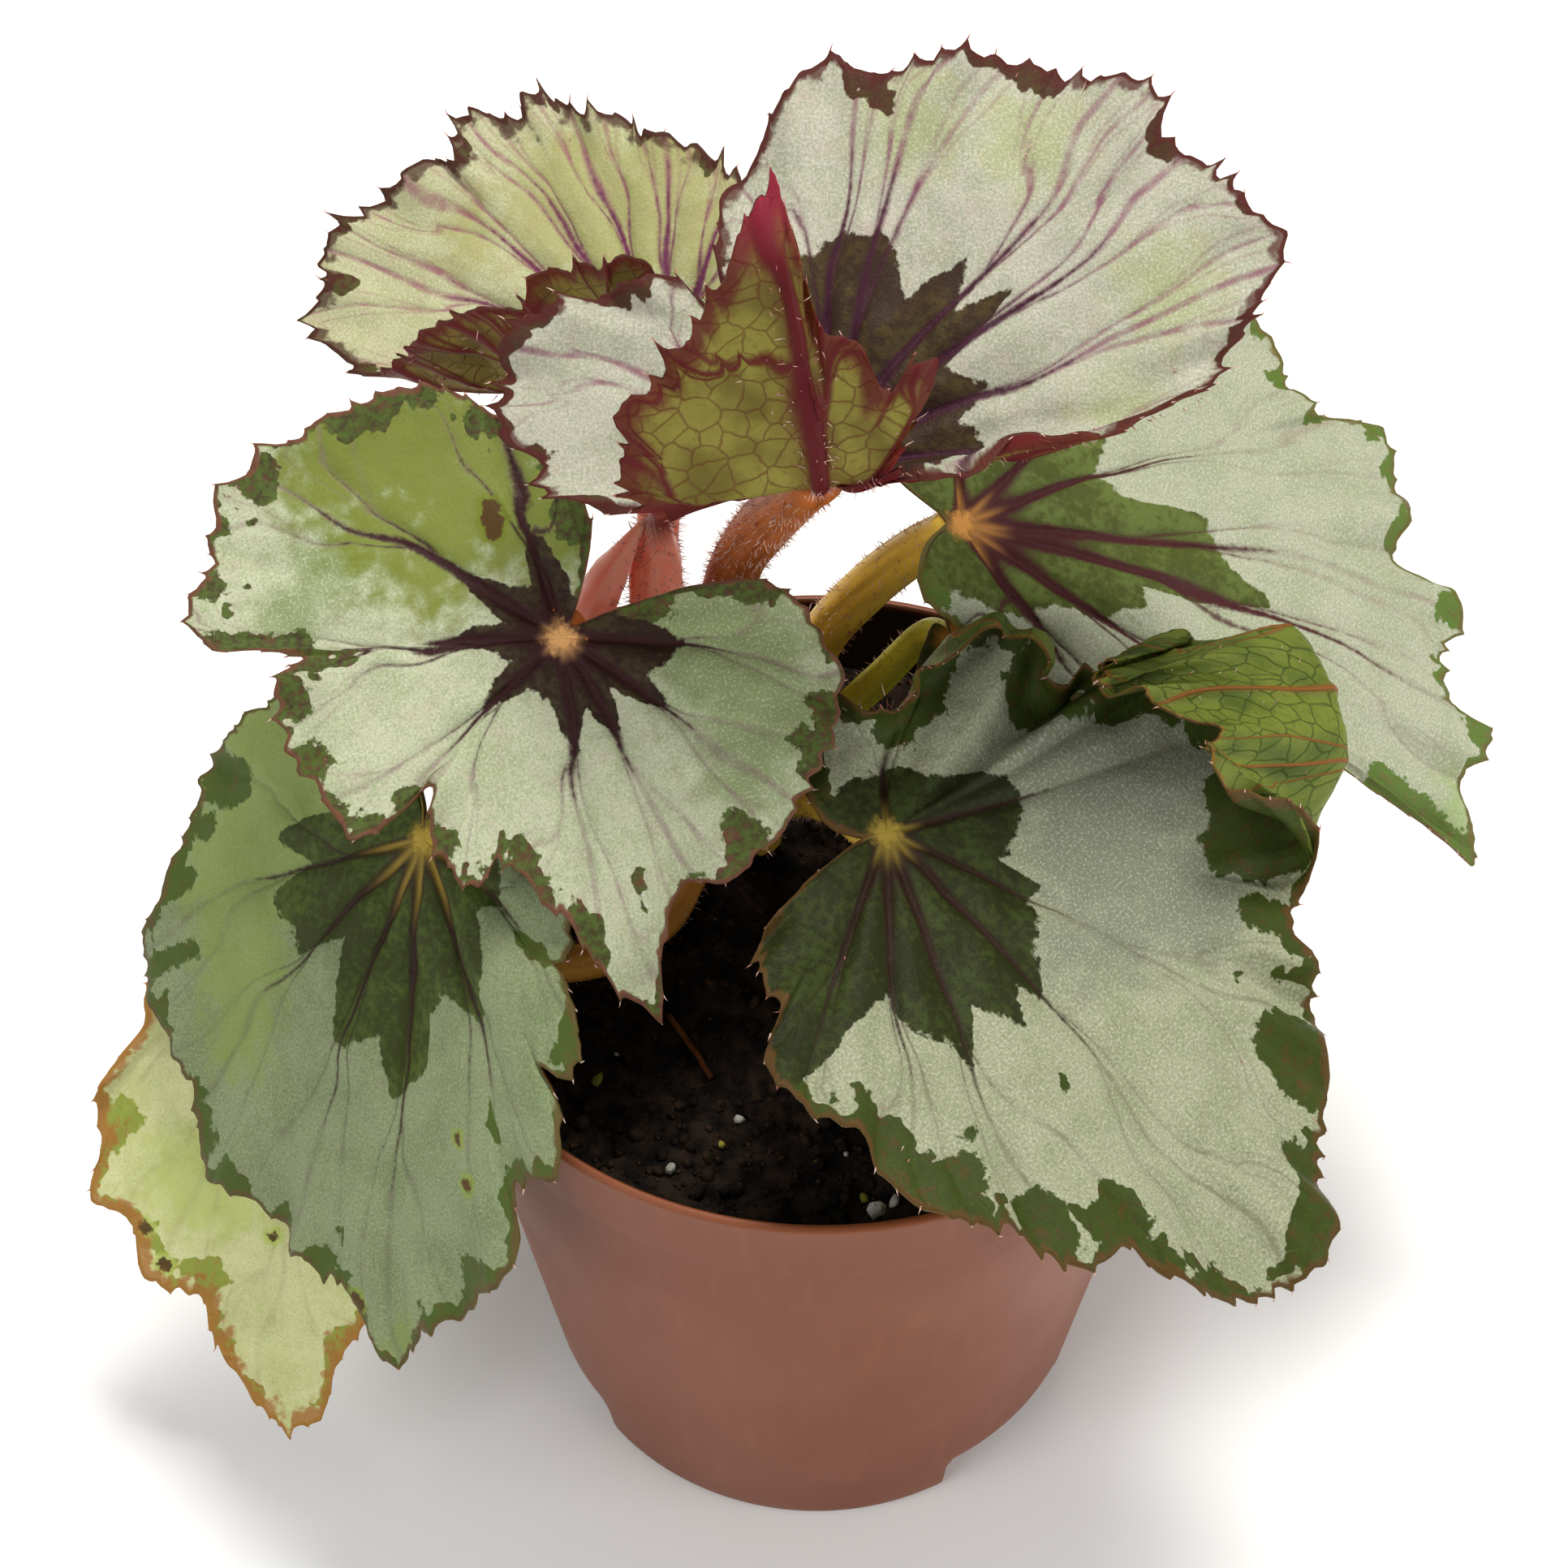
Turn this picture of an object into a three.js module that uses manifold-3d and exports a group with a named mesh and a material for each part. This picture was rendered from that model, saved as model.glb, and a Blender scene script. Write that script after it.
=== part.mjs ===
// Potted rex begonia: eight broad asymmetric leaves on hairy stalks, one rolled young
// leaf, potting soil and a round tapered nursery pot with a collar band.
// Millimetres, +Z up. The origin is the centre of the pot's base, the pot stands on
// z = 0, +X is to the right and -Y is towards the side with the two large low leaves.

import * as THREE from 'three';
import Module from 'manifold-3d';
import { mergeVertices } from 'three/addons/utils/BufferGeometryUtils.js';

// ---------------------------------------------------------------- driving dimensions

// Pot.
const RIM_RADIUS = 52.5;
const POT_HEIGHT = 97;
const BASE_RADIUS = 37.3;
const WALL = 1.3;
const COLLAR_HEIGHT = 13;
const COLLAR_STEP = 0.9;
const FLOOR_THICKNESS = 1.8;
const DRAIN_HOLE_RADIUS = 2.6;
const DRAIN_HOLE_INSET = 11;
const POT_SIDES = 48;

// Drain recesses, cut into the lower edge of the wall, each over a hole in the floor.
const DRAIN_COUNT = 3;
const FIRST_DRAIN_ANGLE = -41;
const DRAIN_WIDTH = 24;
const DRAIN_HEIGHT = 6;
const DRAIN_DISTANCE = 33.5;
const DRAIN_SLOPE = 24;

// Soil.
const SOIL_LEVEL = 87;
const SOIL_MOUND = 1.6;
const SOIL_ROUGHNESS = 0.9;
const SOIL_RINGS = 7;
const SOIL_SEED = 11;
const STALK_DEPTH = 11;
const CLEARANCE = 0.3;

// Leaf blades.
const BLADE = 0.8;
const RIB_DEPTH = 0.8;
const RIB_WIDTH = 6;
const MAX_SECTOR = 10;
const LIFT_REACH = 50;
const NORMAL_STEP = 0.4;

// Stalks.
const STALK_SIDES = 8;
const STALK_STEPS = 13;

// ---------------------------------------------------------------- the plant

// Each leaf grows from its hub, where the stalk joins. turn holds the compass heading
// of the tip, how far the tip points down, and the roll about the midrib, in degrees.
// edge is the outline round the hub: angle from the midrib in degrees, distance in mm,
// and 1 at a sharp corner. ribs are the angles of the main veins. lift raises (+) or
// drops (-) the blade, in mm at 50 mm from the hub. curl rolls the margin up and back:
// angle, distance where the roll starts, degrees of roll. folds turn everything past a
// straight line up about an axle of the given radius, inside an optional sector.
const LEAVES = {
  top: {
    hub: [-1, 5, 172], turn: [-94, 36, -4], rings: 7,
    edge: [
      [12, 49, 1], [14, 35], [20, 27], [27, 26], [37, 21], [43, 24], [48, 25], [53, 22],
      [57, 18], [62, 27], [66, 30], [75, 27], [80, 31], [87, 40], [98, 45], [108, 50],
      [116, 58], [120, 61], [125, 60], [136, 57], [143, 59], [150, 56], [165, 51],
      [177, 46], [180, 48], [184, 46], [190, 41], [193, 37], [201, 34], [206, 29],
      [212, 21], [215, 14, 1], [217, 22], [220, 28], [227, 31], [236, 35], [246, 38],
      [254, 40], [261, 39], [266, 38], [271, 33], [281, 30], [286, 26], [289, 20],
      [292, 8, 1], [296, 20], [303, 23], [310, 25], [320, 27], [328, 30], [340, 30],
      [350, 34], [4, 40], [8, 44],
    ],
    ribs: [11, 62, 98, 118, 134, 146, 166, 178, 245],
    lift: [
      [0, 0], [60, 0], [95, 3], [130, 2], [160, 0], [190, 0], [210, -4], [235, -12],
      [265, -14], [286, -6], [293, 0],
    ],
    folds: [{ toward: 13, start: -1.5, radius: 4.5, degrees: 140, sector: [-69, 115, 4] }],
  },
  back_left: {
    hub: [-20, 40.5, 152.2], turn: [149, 2, -34], rings: 7,
    edge: [
      [357, 52], [4, 54, 1], [7, 50], [12, 51], [17, 46], [22, 41], [30, 35], [40, 33],
      [55, 30], [64, 29], [73, 28], [82, 29], [91, 33], [99, 34], [106, 36], [113, 38],
      [119, 36], [124, 31], [130, 26], [137, 19], [145, 14], [155, 9], [170, 4, 1],
      [190, 8], [215, 10], [236, 13], [252, 17], [263, 22], [270, 25], [286, 29],
      [300, 32], [308, 36], [316, 39], [322, 44], [325, 40], [333, 48], [339, 42],
      [342, 47], [353, 50],
    ],
    ribs: [2, 30, 60, 90, 270, 292, 312, 330, 345],
    lift: [[0, -2], [90, 0], [180, 0], [270, 0]],
    folds: [{ toward: 104, start: 1, radius: 4, degrees: 110 }],
  },
  left: {
    hub: [-32, 5.8, 140.4], turn: [-73, 30, 8], rings: 5,
    edge: [
      [0, 48, 1], [3, 41], [9, 35], [20, 35], [32, 36], [44, 36], [57, 36], [68, 35],
      [80, 31], [90, 27], [100, 20], [111, 12], [118, 6], [127, 2, 1], [134, 6],
      [140, 12], [148, 16], [163, 20], [177, 26], [187, 33], [197, 37], [208, 40],
      [220, 43], [230, 46], [238, 47], [242, 44], [247, 46], [253, 46], [257, 42],
      [259, 31], [263, 35], [275, 37], [287, 36], [297, 36], [302, 33], [304, 24],
      [309, 26], [318, 31], [327, 32], [330, 28], [336, 29], [345, 34], [352, 41],
    ],
    ribs: [352, 17, 43, 75, 298, 256, 223, 182],
    lift: [
      [0, -7], [40, -4], [90, -5], [150, 0], [180, 2], [210, 0], [260, -3], [315, -6],
    ],
  },
  front_left: {
    hub: [-50, -4.6, 113.8], turn: [-96, 40, 30], rings: 5,
    edge: [
      [358, 66], [3, 61], [8, 60], [14, 58], [20, 55], [23, 50], [25, 46], [31, 48],
      [37, 47], [41, 43], [42, 37], [46, 39], [52, 36], [56, 31], [59, 25], [66, 26],
      [72, 25], [80, 22], [92, 19], [110, 18], [130, 17], [155, 13], [170, 6],
      [186, 2, 1], [195, 8], [205, 16], [220, 24], [235, 30], [248, 35], [260, 40],
      [272, 45], [279, 48], [285, 50], [289, 56], [296, 55], [311, 55], [316, 59],
      [321, 61], [328, 60], [336, 60], [344, 62], [350, 66], [354, 69],
    ],
    ribs: [355, 26, 333, 308, 284, 60],
    lift: [
      [0, -5], [20, 1], [40, 6], [75, 2], [110, -3], [180, 0], [230, -3], [270, -4],
      [315, -6],
    ],
  },
  low_left: {
    hub: [-70.6, 7, 80], turn: [-91, 54, 7], rings: 5,
    edge: [
      [357, 77, 1], [354, 72], [351, 69], [348, 63], [344, 57], [337, 58], [333, 54],
      [328, 51], [324, 51], [319, 44], [312, 40], [308, 31], [302, 25], [294, 23],
      [286, 21], [268, 14], [248, 10], [225, 7], [192, 2, 1], [165, 6], [130, 9],
      [90, 11], [61, 13], [45, 18], [32, 24], [22, 32], [16, 42], [12, 50], [8, 59],
      [3, 65], [1, 72],
    ],
    ribs: [356, 20, 336, 312],
    lift: [[0, -3], [90, -3], [180, 0], [270, -4]],
  },
  right: {
    hub: [18, 29, 136], turn: [-12, 20, 14], rings: 5, grow: 1.015,
    edge: [
      [355, 86, 1], [358, 83], [2, 78], [8, 80], [9, 73], [14, 73], [18, 75], [21, 74],
      [22, 69], [24, 65], [29, 66], [35, 68], [40, 68], [42, 63], [44, 57], [50, 57],
      [56, 57], [62, 52], [71, 42], [84, 32], [104, 24], [129, 21], [150, 17],
      [163, 12], [173, 3, 1], [195, 2], [215, 3], [232, 6], [249, 9], [266, 12],
      [284, 14], [304, 17], [316, 22], [326, 27], [334, 31], [342, 37], [347, 44],
      [349, 52], [351, 60], [353, 67], [354, 75],
    ],
    ribs: [10, 20, 45, 67, 326, 350, 110],
    lift: [
      [0, -7], [20, -6], [45, -5], [90, 0], [130, 2], [180, 0], [230, -4],
      [300, -14], [330, -14], [346, -9],
    ],
  },
  front_right: {
    hub: [8, -11, 123], turn: [-40, 15, -5], rings: 7, grow: 0.987, curlRadius: 3,
    edge: [
      [358, 74], [2, 75, 1], [5, 73], [10, 69], [15, 66], [21, 64], [27, 60], [32, 57],
      [36, 54], [39, 55], [43, 66], [48, 77], [54, 82], [60, 80], [65, 78], [69, 75],
      [73, 69], [77, 58], [81, 47], [86, 39], [94, 37], [103, 38], [110, 37],
      [116, 33], [123, 27], [131, 23], [142, 22], [155, 22], [168, 19], [180, 15],
      [194, 12], [210, 9], [228, 5], [240, 3, 1], [252, 7], [260, 14], [269, 24],
      [276, 28], [283, 30], [286, 37], [290, 40], [304, 43], [309, 46], [315, 50],
      [327, 55], [337, 60], [341, 59], [344, 63], [348, 68], [354, 73],
    ],
    ribs: [358, 23, 64, 331, 312, 292, 132],
    curl: [
      [33, 70, 0], [38, 54, 30], [43, 50, 120], [48, 52, 145], [54, 56, 150],
      [60, 55, 155], [66, 53, 155], [72, 47, 150], [77, 38, 148], [82, 29, 148],
      [90, 25, 145], [105, 24, 145], [112, 23, 140], [118, 20, 130], [125, 14, 110],
      [140, 13, 100], [158, 14, 90], [172, 14, 40], [184, 15, 0],
    ],
    lift: [
      [0, -6], [25, -4], [45, 1], [57, 8], [70, 10], [85, 9], [100, 12], [130, 20],
      [160, 10], [180, 2], [220, -2], [270, -3], [300, -1], [325, -3], [345, -5],
    ],
  },
  inner: {
    hub: [18, 29, 113], turn: [-60, 32, 0], rings: 4,
    edge: [
      [0, 24, 1], [15, 20], [40, 18], [70, 18], [100, 16], [130, 13], [155, 10],
      [180, 2, 1], [205, 8], [230, 10], [260, 12], [290, 14], [320, 18], [345, 20],
    ],
    ribs: [0, 50, 310],
    lift: [[0, -8], [90, -10], [180, 0], [270, -8]],
  },
};

// Centre line of each stalk, from its hole in the soil to just under its leaf, then
// the radius at the foot and at the leaf.
const STALKS = {
  top: {
    path: [[-14, 31, 92], [-13, 31, 112], [-11, 29, 128], [-7, 20, 146], [-1.5, 7, 167]],
    radii: [3.8, 3.2],
  },
  back_left: {
    path: [[-23, 34, 90], [-24.5, 37, 108], [-23, 42, 130], [-18.5, 44.5, 144]],
    radii: [3.4, 2.8],
  },
  left: {
    path: [[-25, 24, 90], [-27, 22, 100], [-30, 15, 114], [-32, 9.5, 128]],
    radii: [3.3, 2.9],
  },
  front_left: {
    path: [[-22, 16, 89], [-25, 13, 95], [-31, 8, 102], [-39, 1, 109]],
    radii: [2.9, 2.5],
  },
  low_left: {
    path: [
      [-16, 9, 90], [-17.5, 3, 95], [-20.5, -5.5, 97.5], [-28, -13, 100], [-38, -15.5, 102],
      [-48, -13.5, 102], [-57, -5, 99], [-64, 6, 94], [-69, 14, 87.5], [-71, 14, 80.5],
    ],
    radii: [2.4, 2.1],
  },
  right: {
    path: [[-3, 34, 90], [-1, 34, 105], [4, 33.5, 116], [12, 32, 127.5]],
    radii: [3.4, 3.0],
  },
  front_right: {
    path: [[-8, 15, 90], [-5, 13, 100], [1, 3, 112]],
    radii: [2.9, 2.4],
  },
  inner: {
    path: [[0, 24, 89], [3, 27, 97], [9, 30, 104.5]],
    radii: [2.5, 2.1],
  },
};

// The youngest leaf, still rolled up: centre line and radius at each point.
const YOUNG_LEAF = {
  path: [[-14, 21.5, 90], [-16, 22, 112], [-18, 22.5, 126], [-19, 24, 138], [-19.5, 26.5, 148]],
  radii: [2.3, 2.3, 2.6, 3.4, 2.9, 0.7],
};

const COLOURS = {
  pot: 0x9c6049,
  soil: 0x1d1814,
  silver: 0xa9bda0,
  pale: 0xb9cf9a,
  green: 0x7f9a5e,
  red_stalk: 0xa8674f,
  pink: 0xd98a84,
  ochre: 0xb29a4c,
  olive: 0x9fa84a,
};

const LEAF_COLOURS = {
  top: COLOURS.silver,
  back_left: COLOURS.pale,
  left: COLOURS.silver,
  front_left: COLOURS.green,
  low_left: COLOURS.pale,
  right: COLOURS.pale,
  front_right: COLOURS.silver,
  inner: COLOURS.green,
};

const STALK_COLOURS = {
  top: COLOURS.red_stalk,
  back_left: COLOURS.pink,
  left: COLOURS.red_stalk,
  front_left: COLOURS.ochre,
  low_left: COLOURS.ochre,
  right: COLOURS.ochre,
  front_right: COLOURS.ochre,
  inner: COLOURS.olive,
};

// ---------------------------------------------------------------- curves

const radians = THREE.MathUtils.degToRad;
const wrap = (angle) => THREE.MathUtils.euclideanModulo(angle, 360);
const signed = (angle) => wrap(angle + 180) - 180;
const clamp = THREE.MathUtils.clamp;
const smooth = (x) => THREE.MathUtils.smoothstep(x, 0, 1);

// A closed curve of value against angle that runs through every given point without
// overshooting: slopes are weighted harmonic means, flat at each high or low point,
// and a corner keeps a slope of its own on each side.
function roundCurve(points) {
  const knots = points
    .map(([angle, value, corner = 0]) => ({ angle: wrap(angle), value, corner }))
    .sort((a, b) => a.angle - b.angle);
  const count = knots.length;
  const spans = knots.map((knot, i) => {
    const next = knots[(i + 1) % count];
    const width = next.angle - knot.angle + (i === count - 1 ? 360 : 0);
    return { width, slope: (next.value - knot.value) / width };
  });
  knots.forEach((knot, i) => {
    const before = spans[(i + count - 1) % count];
    const after = spans[i];
    let slope = 0;
    if (before.slope * after.slope > 0) {
      const a = 2 * after.width + before.width;
      const b = after.width + 2 * before.width;
      slope = (a + b) / (a / before.slope + b / after.slope);
    }
    knot.slopeIn = knot.corner ? before.slope : slope;
    knot.slopeOut = knot.corner ? after.slope : slope;
  });
  return (angle) => {
    const turned = wrap(angle - knots[0].angle) + knots[0].angle;
    let i = count - 1;
    while (i > 0 && knots[i].angle > turned) i -= 1;
    const next = knots[(i + 1) % count];
    const { width } = spans[i];
    const t = (turned - knots[i].angle) / width;
    const t2 = t * t;
    const t3 = t2 * t;
    return (2 * t3 - 3 * t2 + 1) * knots[i].value
      + (t3 - 2 * t2 + t) * knots[i].slopeOut * width
      + (3 * t2 - 2 * t3) * next.value
      + (t3 - t2) * next.slopeIn * width;
  };
}

// ---------------------------------------------------------------- leaf blades

// Unit vectors of a leaf: along the midrib, to its left, and out of its upper face.
function leafAxes([heading, pitch, roll]) {
  const [h, p, r] = [heading, pitch, roll].map(radians);
  const along = new THREE.Vector3(
    Math.cos(h) * Math.cos(p),
    Math.sin(h) * Math.cos(p),
    -Math.sin(p),
  );
  const level = new THREE.Vector3(-Math.sin(h), Math.cos(h), 0);
  const up = along.clone().cross(level);
  const side = level.clone().multiplyScalar(Math.cos(r)).addScaledVector(up, Math.sin(r));
  const out = up.clone().multiplyScalar(Math.cos(r)).addScaledVector(level, -Math.sin(r));
  return { along, side, out };
}

// The middle surface of a leaf, as point(angle, distance from the hub), and its reach.
function leafSurface(leaf) {
  const grow = leaf.grow ?? 1;
  const outline = roundCurve(leaf.edge);
  const lift = roundCurve(leaf.lift);
  const curlStart = leaf.curl && roundCurve(leaf.curl.map(([angle, start]) => [angle, start]));
  const curlTurn = leaf.curl && roundCurve(leaf.curl.map(([angle, , turn]) => [angle, turn]));
  const { along, side, out } = leafAxes(leaf.turn);
  const hub = new THREE.Vector3(...leaf.hub);
  const reach = (angle) => outline(angle) * grow;

  function rib(angle, distance) {
    const share = clamp(distance / reach(angle), 0, 1);
    const nearest = Math.min(...leaf.ribs.map((at) => Math.abs(signed(angle - at))));
    return -RIB_DEPTH * Math.exp(-((nearest / RIB_WIDTH) ** 2)) * Math.sin(Math.PI * share);
  }

  function curled(angle, distance) {
    if (!leaf.curl) return [distance, 0];
    const radius = leaf.curlRadius;
    const start = curlStart(angle);
    const turn = radians(Math.max(curlTurn(angle), 1e-4));
    const past = distance - start;
    if (past <= 0) return [distance, 0];
    const bent = Math.min(past, radius * turn) / radius;
    const rest = Math.max(past - radius * turn, 0);
    return [
      start + radius * Math.sin(bent) + rest * Math.cos(bent),
      radius * (1 - Math.cos(bent)) + rest * Math.sin(bent),
    ];
  }

  function fold(point, angle, { toward, start, radius, degrees, sector }) {
    const direction = new THREE.Vector3(Math.cos(radians(toward)), Math.sin(radians(toward)), 0);
    const past = point.dot(direction) - start;
    let turn = radians(degrees);
    if (sector) {
      const [from, to, soft] = sector;
      turn *= smooth(signed(angle - from) / soft + 0.5) * smooth(signed(to - angle) / soft + 0.5);
    }
    if (past <= 0 || turn < 1e-5) return;
    const bent = Math.min(past, radius * turn) / radius;
    const rest = Math.max(past - radius * turn, 0);
    const inside = radius - point.z;
    point.addScaledVector(direction, inside * Math.sin(bent) + rest * Math.cos(bent) - past);
    point.z = radius - inside * Math.cos(bent) + rest * Math.sin(bent);
  }

  function point(angle, distance) {
    const [flat, rise] = curled(angle, distance);
    const a = radians(angle);
    const height = rise + lift(angle) * (flat / LIFT_REACH) ** 2 + rib(angle, distance);
    const local = new THREE.Vector3(flat * Math.cos(a), flat * Math.sin(a), height);
    for (const bend of leaf.folds ?? []) fold(local, angle, bend);
    return hub.clone()
      .addScaledVector(along, local.x)
      .addScaledVector(side, local.y)
      .addScaledVector(out, local.z);
  }

  function normal(angle, distance) {
    const r = Math.max(distance, NORMAL_STEP);
    const step = NORMAL_STEP * 180 / Math.PI / r;
    const outward = point(angle, r + NORMAL_STEP / 2).sub(point(angle, r - NORMAL_STEP / 2));
    const around = point(angle + step / 2, r).sub(point(angle - step / 2, r));
    return outward.cross(around).normalize();
  }

  function hubNormal() {
    const total = new THREE.Vector3();
    for (let angle = 0; angle < 360; angle += 30) total.add(normal(angle, 2));
    return total.normalize();
  }

  return { point, normal, reach, hub, hubNormal };
}

// Sector angles: every outline point and rib, with wide gaps divided evenly.
function sectorAngles(leaf) {
  const fixed = [...new Set([...leaf.edge.map(([angle]) => angle), ...leaf.ribs])]
    .map(wrap)
    .sort((a, b) => a - b);
  return fixed.flatMap((angle, i) => {
    const next = fixed[(i + 1) % fixed.length] + (i === fixed.length - 1 ? 360 : 0);
    const parts = Math.ceil((next - angle) / MAX_SECTOR);
    return Array.from({ length: parts }, (_, k) => angle + ((next - angle) * k) / parts);
  });
}

// Distances of the rings along one spoke, closer together where the blade bends.
function spokeDistances(surface, angle, rings) {
  const fine = 48;
  const reach = surface.reach(angle);
  const measure = [0];
  let previous = surface.normal(angle, NORMAL_STEP);
  for (let i = 1; i <= fine; i += 1) {
    const current = surface.normal(angle, (reach * i) / fine);
    const turn = Math.acos(clamp(previous.dot(current), -1, 1));
    measure.push(measure[i - 1] + 1 / fine + 0.55 * turn);
    previous = current;
  }
  const distances = [];
  let i = 0;
  for (let ring = 1; ring <= rings; ring += 1) {
    const target = (measure[fine] * ring) / rings;
    while (i < fine - 1 && measure[i + 1] < target) i += 1;
    const share = (target - measure[i]) / (measure[i + 1] - measure[i]);
    distances.push((reach * (i + clamp(share, 0, 1))) / fine);
  }
  return distances;
}

// One closed blade: both faces share the same triangles, joined round the margin.
function leafBlade(leaf) {
  const surface = leafSurface(leaf);
  const angles = sectorAngles(leaf);
  const { rings } = leaf;
  const count = angles.length;
  const faceSize = 1 + rings * count;
  const upper = [surface.hub.clone().addScaledVector(surface.hubNormal(), BLADE / 2)];
  const lower = [surface.hub.clone().addScaledVector(surface.hubNormal(), -BLADE / 2)];
  const spokes = angles.map((angle) => spokeDistances(surface, angle, rings));
  for (let ring = 0; ring < rings; ring += 1) {
    angles.forEach((angle, i) => {
      const middle = surface.point(angle, spokes[i][ring]);
      const normal = surface.normal(angle, spokes[i][ring]);
      upper.push(middle.clone().addScaledVector(normal, BLADE / 2));
      lower.push(middle.clone().addScaledVector(normal, -BLADE / 2));
    });
  }
  const at = (ring, i) => 1 + ring * count + (i % count);
  const face = [];
  for (let i = 0; i < count; i += 1) {
    face.push([0, at(0, i), at(0, i + 1)]);
    for (let ring = 0; ring < rings - 1; ring += 1) {
      face.push([at(ring, i), at(ring + 1, i), at(ring + 1, i + 1)]);
      face.push([at(ring, i), at(ring + 1, i + 1), at(ring, i + 1)]);
    }
  }
  const index = face.flat();
  for (const [a, b, c] of face) index.push(a + faceSize, c + faceSize, b + faceSize);
  for (let i = 0; i < count; i += 1) {
    const a = at(rings - 1, i);
    const b = at(rings - 1, i + 1);
    index.push(a, a + faceSize, b + faceSize, a, b + faceSize, b);
  }
  return indexedGeometry([...upper, ...lower], index);
}

function indexedGeometry(points, index) {
  const geometry = new THREE.BufferGeometry();
  geometry.setAttribute(
    'position',
    new THREE.Float32BufferAttribute(points.flatMap((p) => [p.x, p.y, p.z]), 3),
  );
  geometry.setIndex(index);
  geometry.computeVertexNormals();
  return geometry;
}

// ---------------------------------------------------------------- stalks

// A closed round tube along a smooth curve. radiusAt gives the radius at a share of the
// length. Where a seat is given, the last ring lies on that plane.
function tube(points, radiusAt, steps, seat = null) {
  const vectors = points.map((p) => new THREE.Vector3(...p));
  const curve = new THREE.CatmullRomCurve3(vectors, false, 'catmullrom', 0.5);
  const frames = curve.computeFrenetFrames(steps, false);
  const vertices = [];
  for (let i = 0; i <= steps; i += 1) {
    const centre = curve.getPointAt(i / steps);
    const radius = radiusAt(i / steps);
    for (let k = 0; k < STALK_SIDES; k += 1) {
      const angle = (2 * Math.PI * k) / STALK_SIDES;
      const vertex = centre.clone()
        .addScaledVector(frames.normals[i], Math.cos(angle) * radius)
        .addScaledVector(frames.binormals[i], Math.sin(angle) * radius);
      if (seat && i === steps) {
        const axis = frames.tangents[i];
        const distance = seat.point.clone().sub(vertex).dot(seat.normal) / axis.dot(seat.normal);
        vertex.addScaledVector(axis, distance);
      }
      vertices.push(vertex);
    }
  }
  const ringAt = (i) => vertices.slice(i * STALK_SIDES, (i + 1) * STALK_SIDES);
  const middle = (ring) => ring
    .reduce((sum, v) => sum.add(v), new THREE.Vector3())
    .divideScalar(STALK_SIDES);
  const foot = vertices.push(middle(ringAt(0))) - 1;
  const head = vertices.push(middle(ringAt(steps))) - 1;
  const index = [];
  for (let k = 0; k < STALK_SIDES; k += 1) {
    const next = (k + 1) % STALK_SIDES;
    for (let i = 0; i < steps; i += 1) {
      const a = i * STALK_SIDES + k;
      const b = i * STALK_SIDES + next;
      const c = a + STALK_SIDES;
      const d = b + STALK_SIDES;
      index.push(a, b, d, a, d, c);
    }
    index.push(foot, next, k);
    index.push(head, steps * STALK_SIDES + k, steps * STALK_SIDES + next);
  }
  return indexedGeometry(vertices, index);
}

const footOf = ([x, y]) => [x, y, SOIL_LEVEL - STALK_DEPTH];

function stalkGeometry(name) {
  const { path, radii: [low, high] } = STALKS[name];
  const surface = leafSurface(LEAVES[name]);
  const normal = surface.hubNormal();
  const seat = {
    point: surface.hub.clone().addScaledVector(normal, -(BLADE / 2 + CLEARANCE)),
    normal,
  };
  const end = seat.point.clone().addScaledVector(normal, -high * 0.6);
  const points = [footOf(path[0]), ...path, end.toArray()];
  return tube(points, (share) => low + (high - low) * share, STALK_STEPS, seat);
}

function youngLeafGeometry() {
  const { path, radii } = YOUNG_LEAF;
  const radiusAt = (share) => {
    const place = share * (radii.length - 1);
    const i = Math.min(Math.floor(place), radii.length - 2);
    return THREE.MathUtils.lerp(radii[i], radii[i + 1], place - i);
  };
  return tube([footOf(path[0]), ...path], radiusAt, STALK_STEPS);
}

// ---------------------------------------------------------------- pot and soil

const wasm = await Module();
wasm.setup();

// A solid that can be joined or cut, from a closed three.js geometry.
function solidOf(geometry) {
  const bare = geometry.index ? geometry.clone() : geometry;
  bare.deleteAttribute('normal');
  bare.deleteAttribute('uv');
  const merged = mergeVertices(bare, 1e-4);
  return new wasm.Manifold(new wasm.Mesh({
    numProp: 3,
    vertProperties: new Float32Array(merged.attributes.position.array),
    triVerts: new Uint32Array(merged.index.array),
  }));
}

function geometryOf(solid) {
  const mesh = solid.getMesh();
  const geometry = new THREE.BufferGeometry();
  geometry.setAttribute('position', new THREE.BufferAttribute(mesh.vertProperties, 3));
  geometry.setIndex(new THREE.BufferAttribute(mesh.triVerts, 1));
  geometry.computeVertexNormals();
  return geometry;
}

// Outer wall radius at a height below the collar.
function wallRadius(z) {
  const collarFoot = POT_HEIGHT - COLLAR_HEIGHT;
  const top = RIM_RADIUS - COLLAR_STEP - 1.3;
  return BASE_RADIUS + ((top - BASE_RADIUS) * z) / collarFoot;
}

// A lathe about the upright axis; profile points are [radius, height].
function turned(profile, sides) {
  const points = profile.map(([r, z]) => new THREE.Vector2(r, z));
  return new THREE.LatheGeometry(points, sides).rotateX(Math.PI / 2);
}

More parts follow.
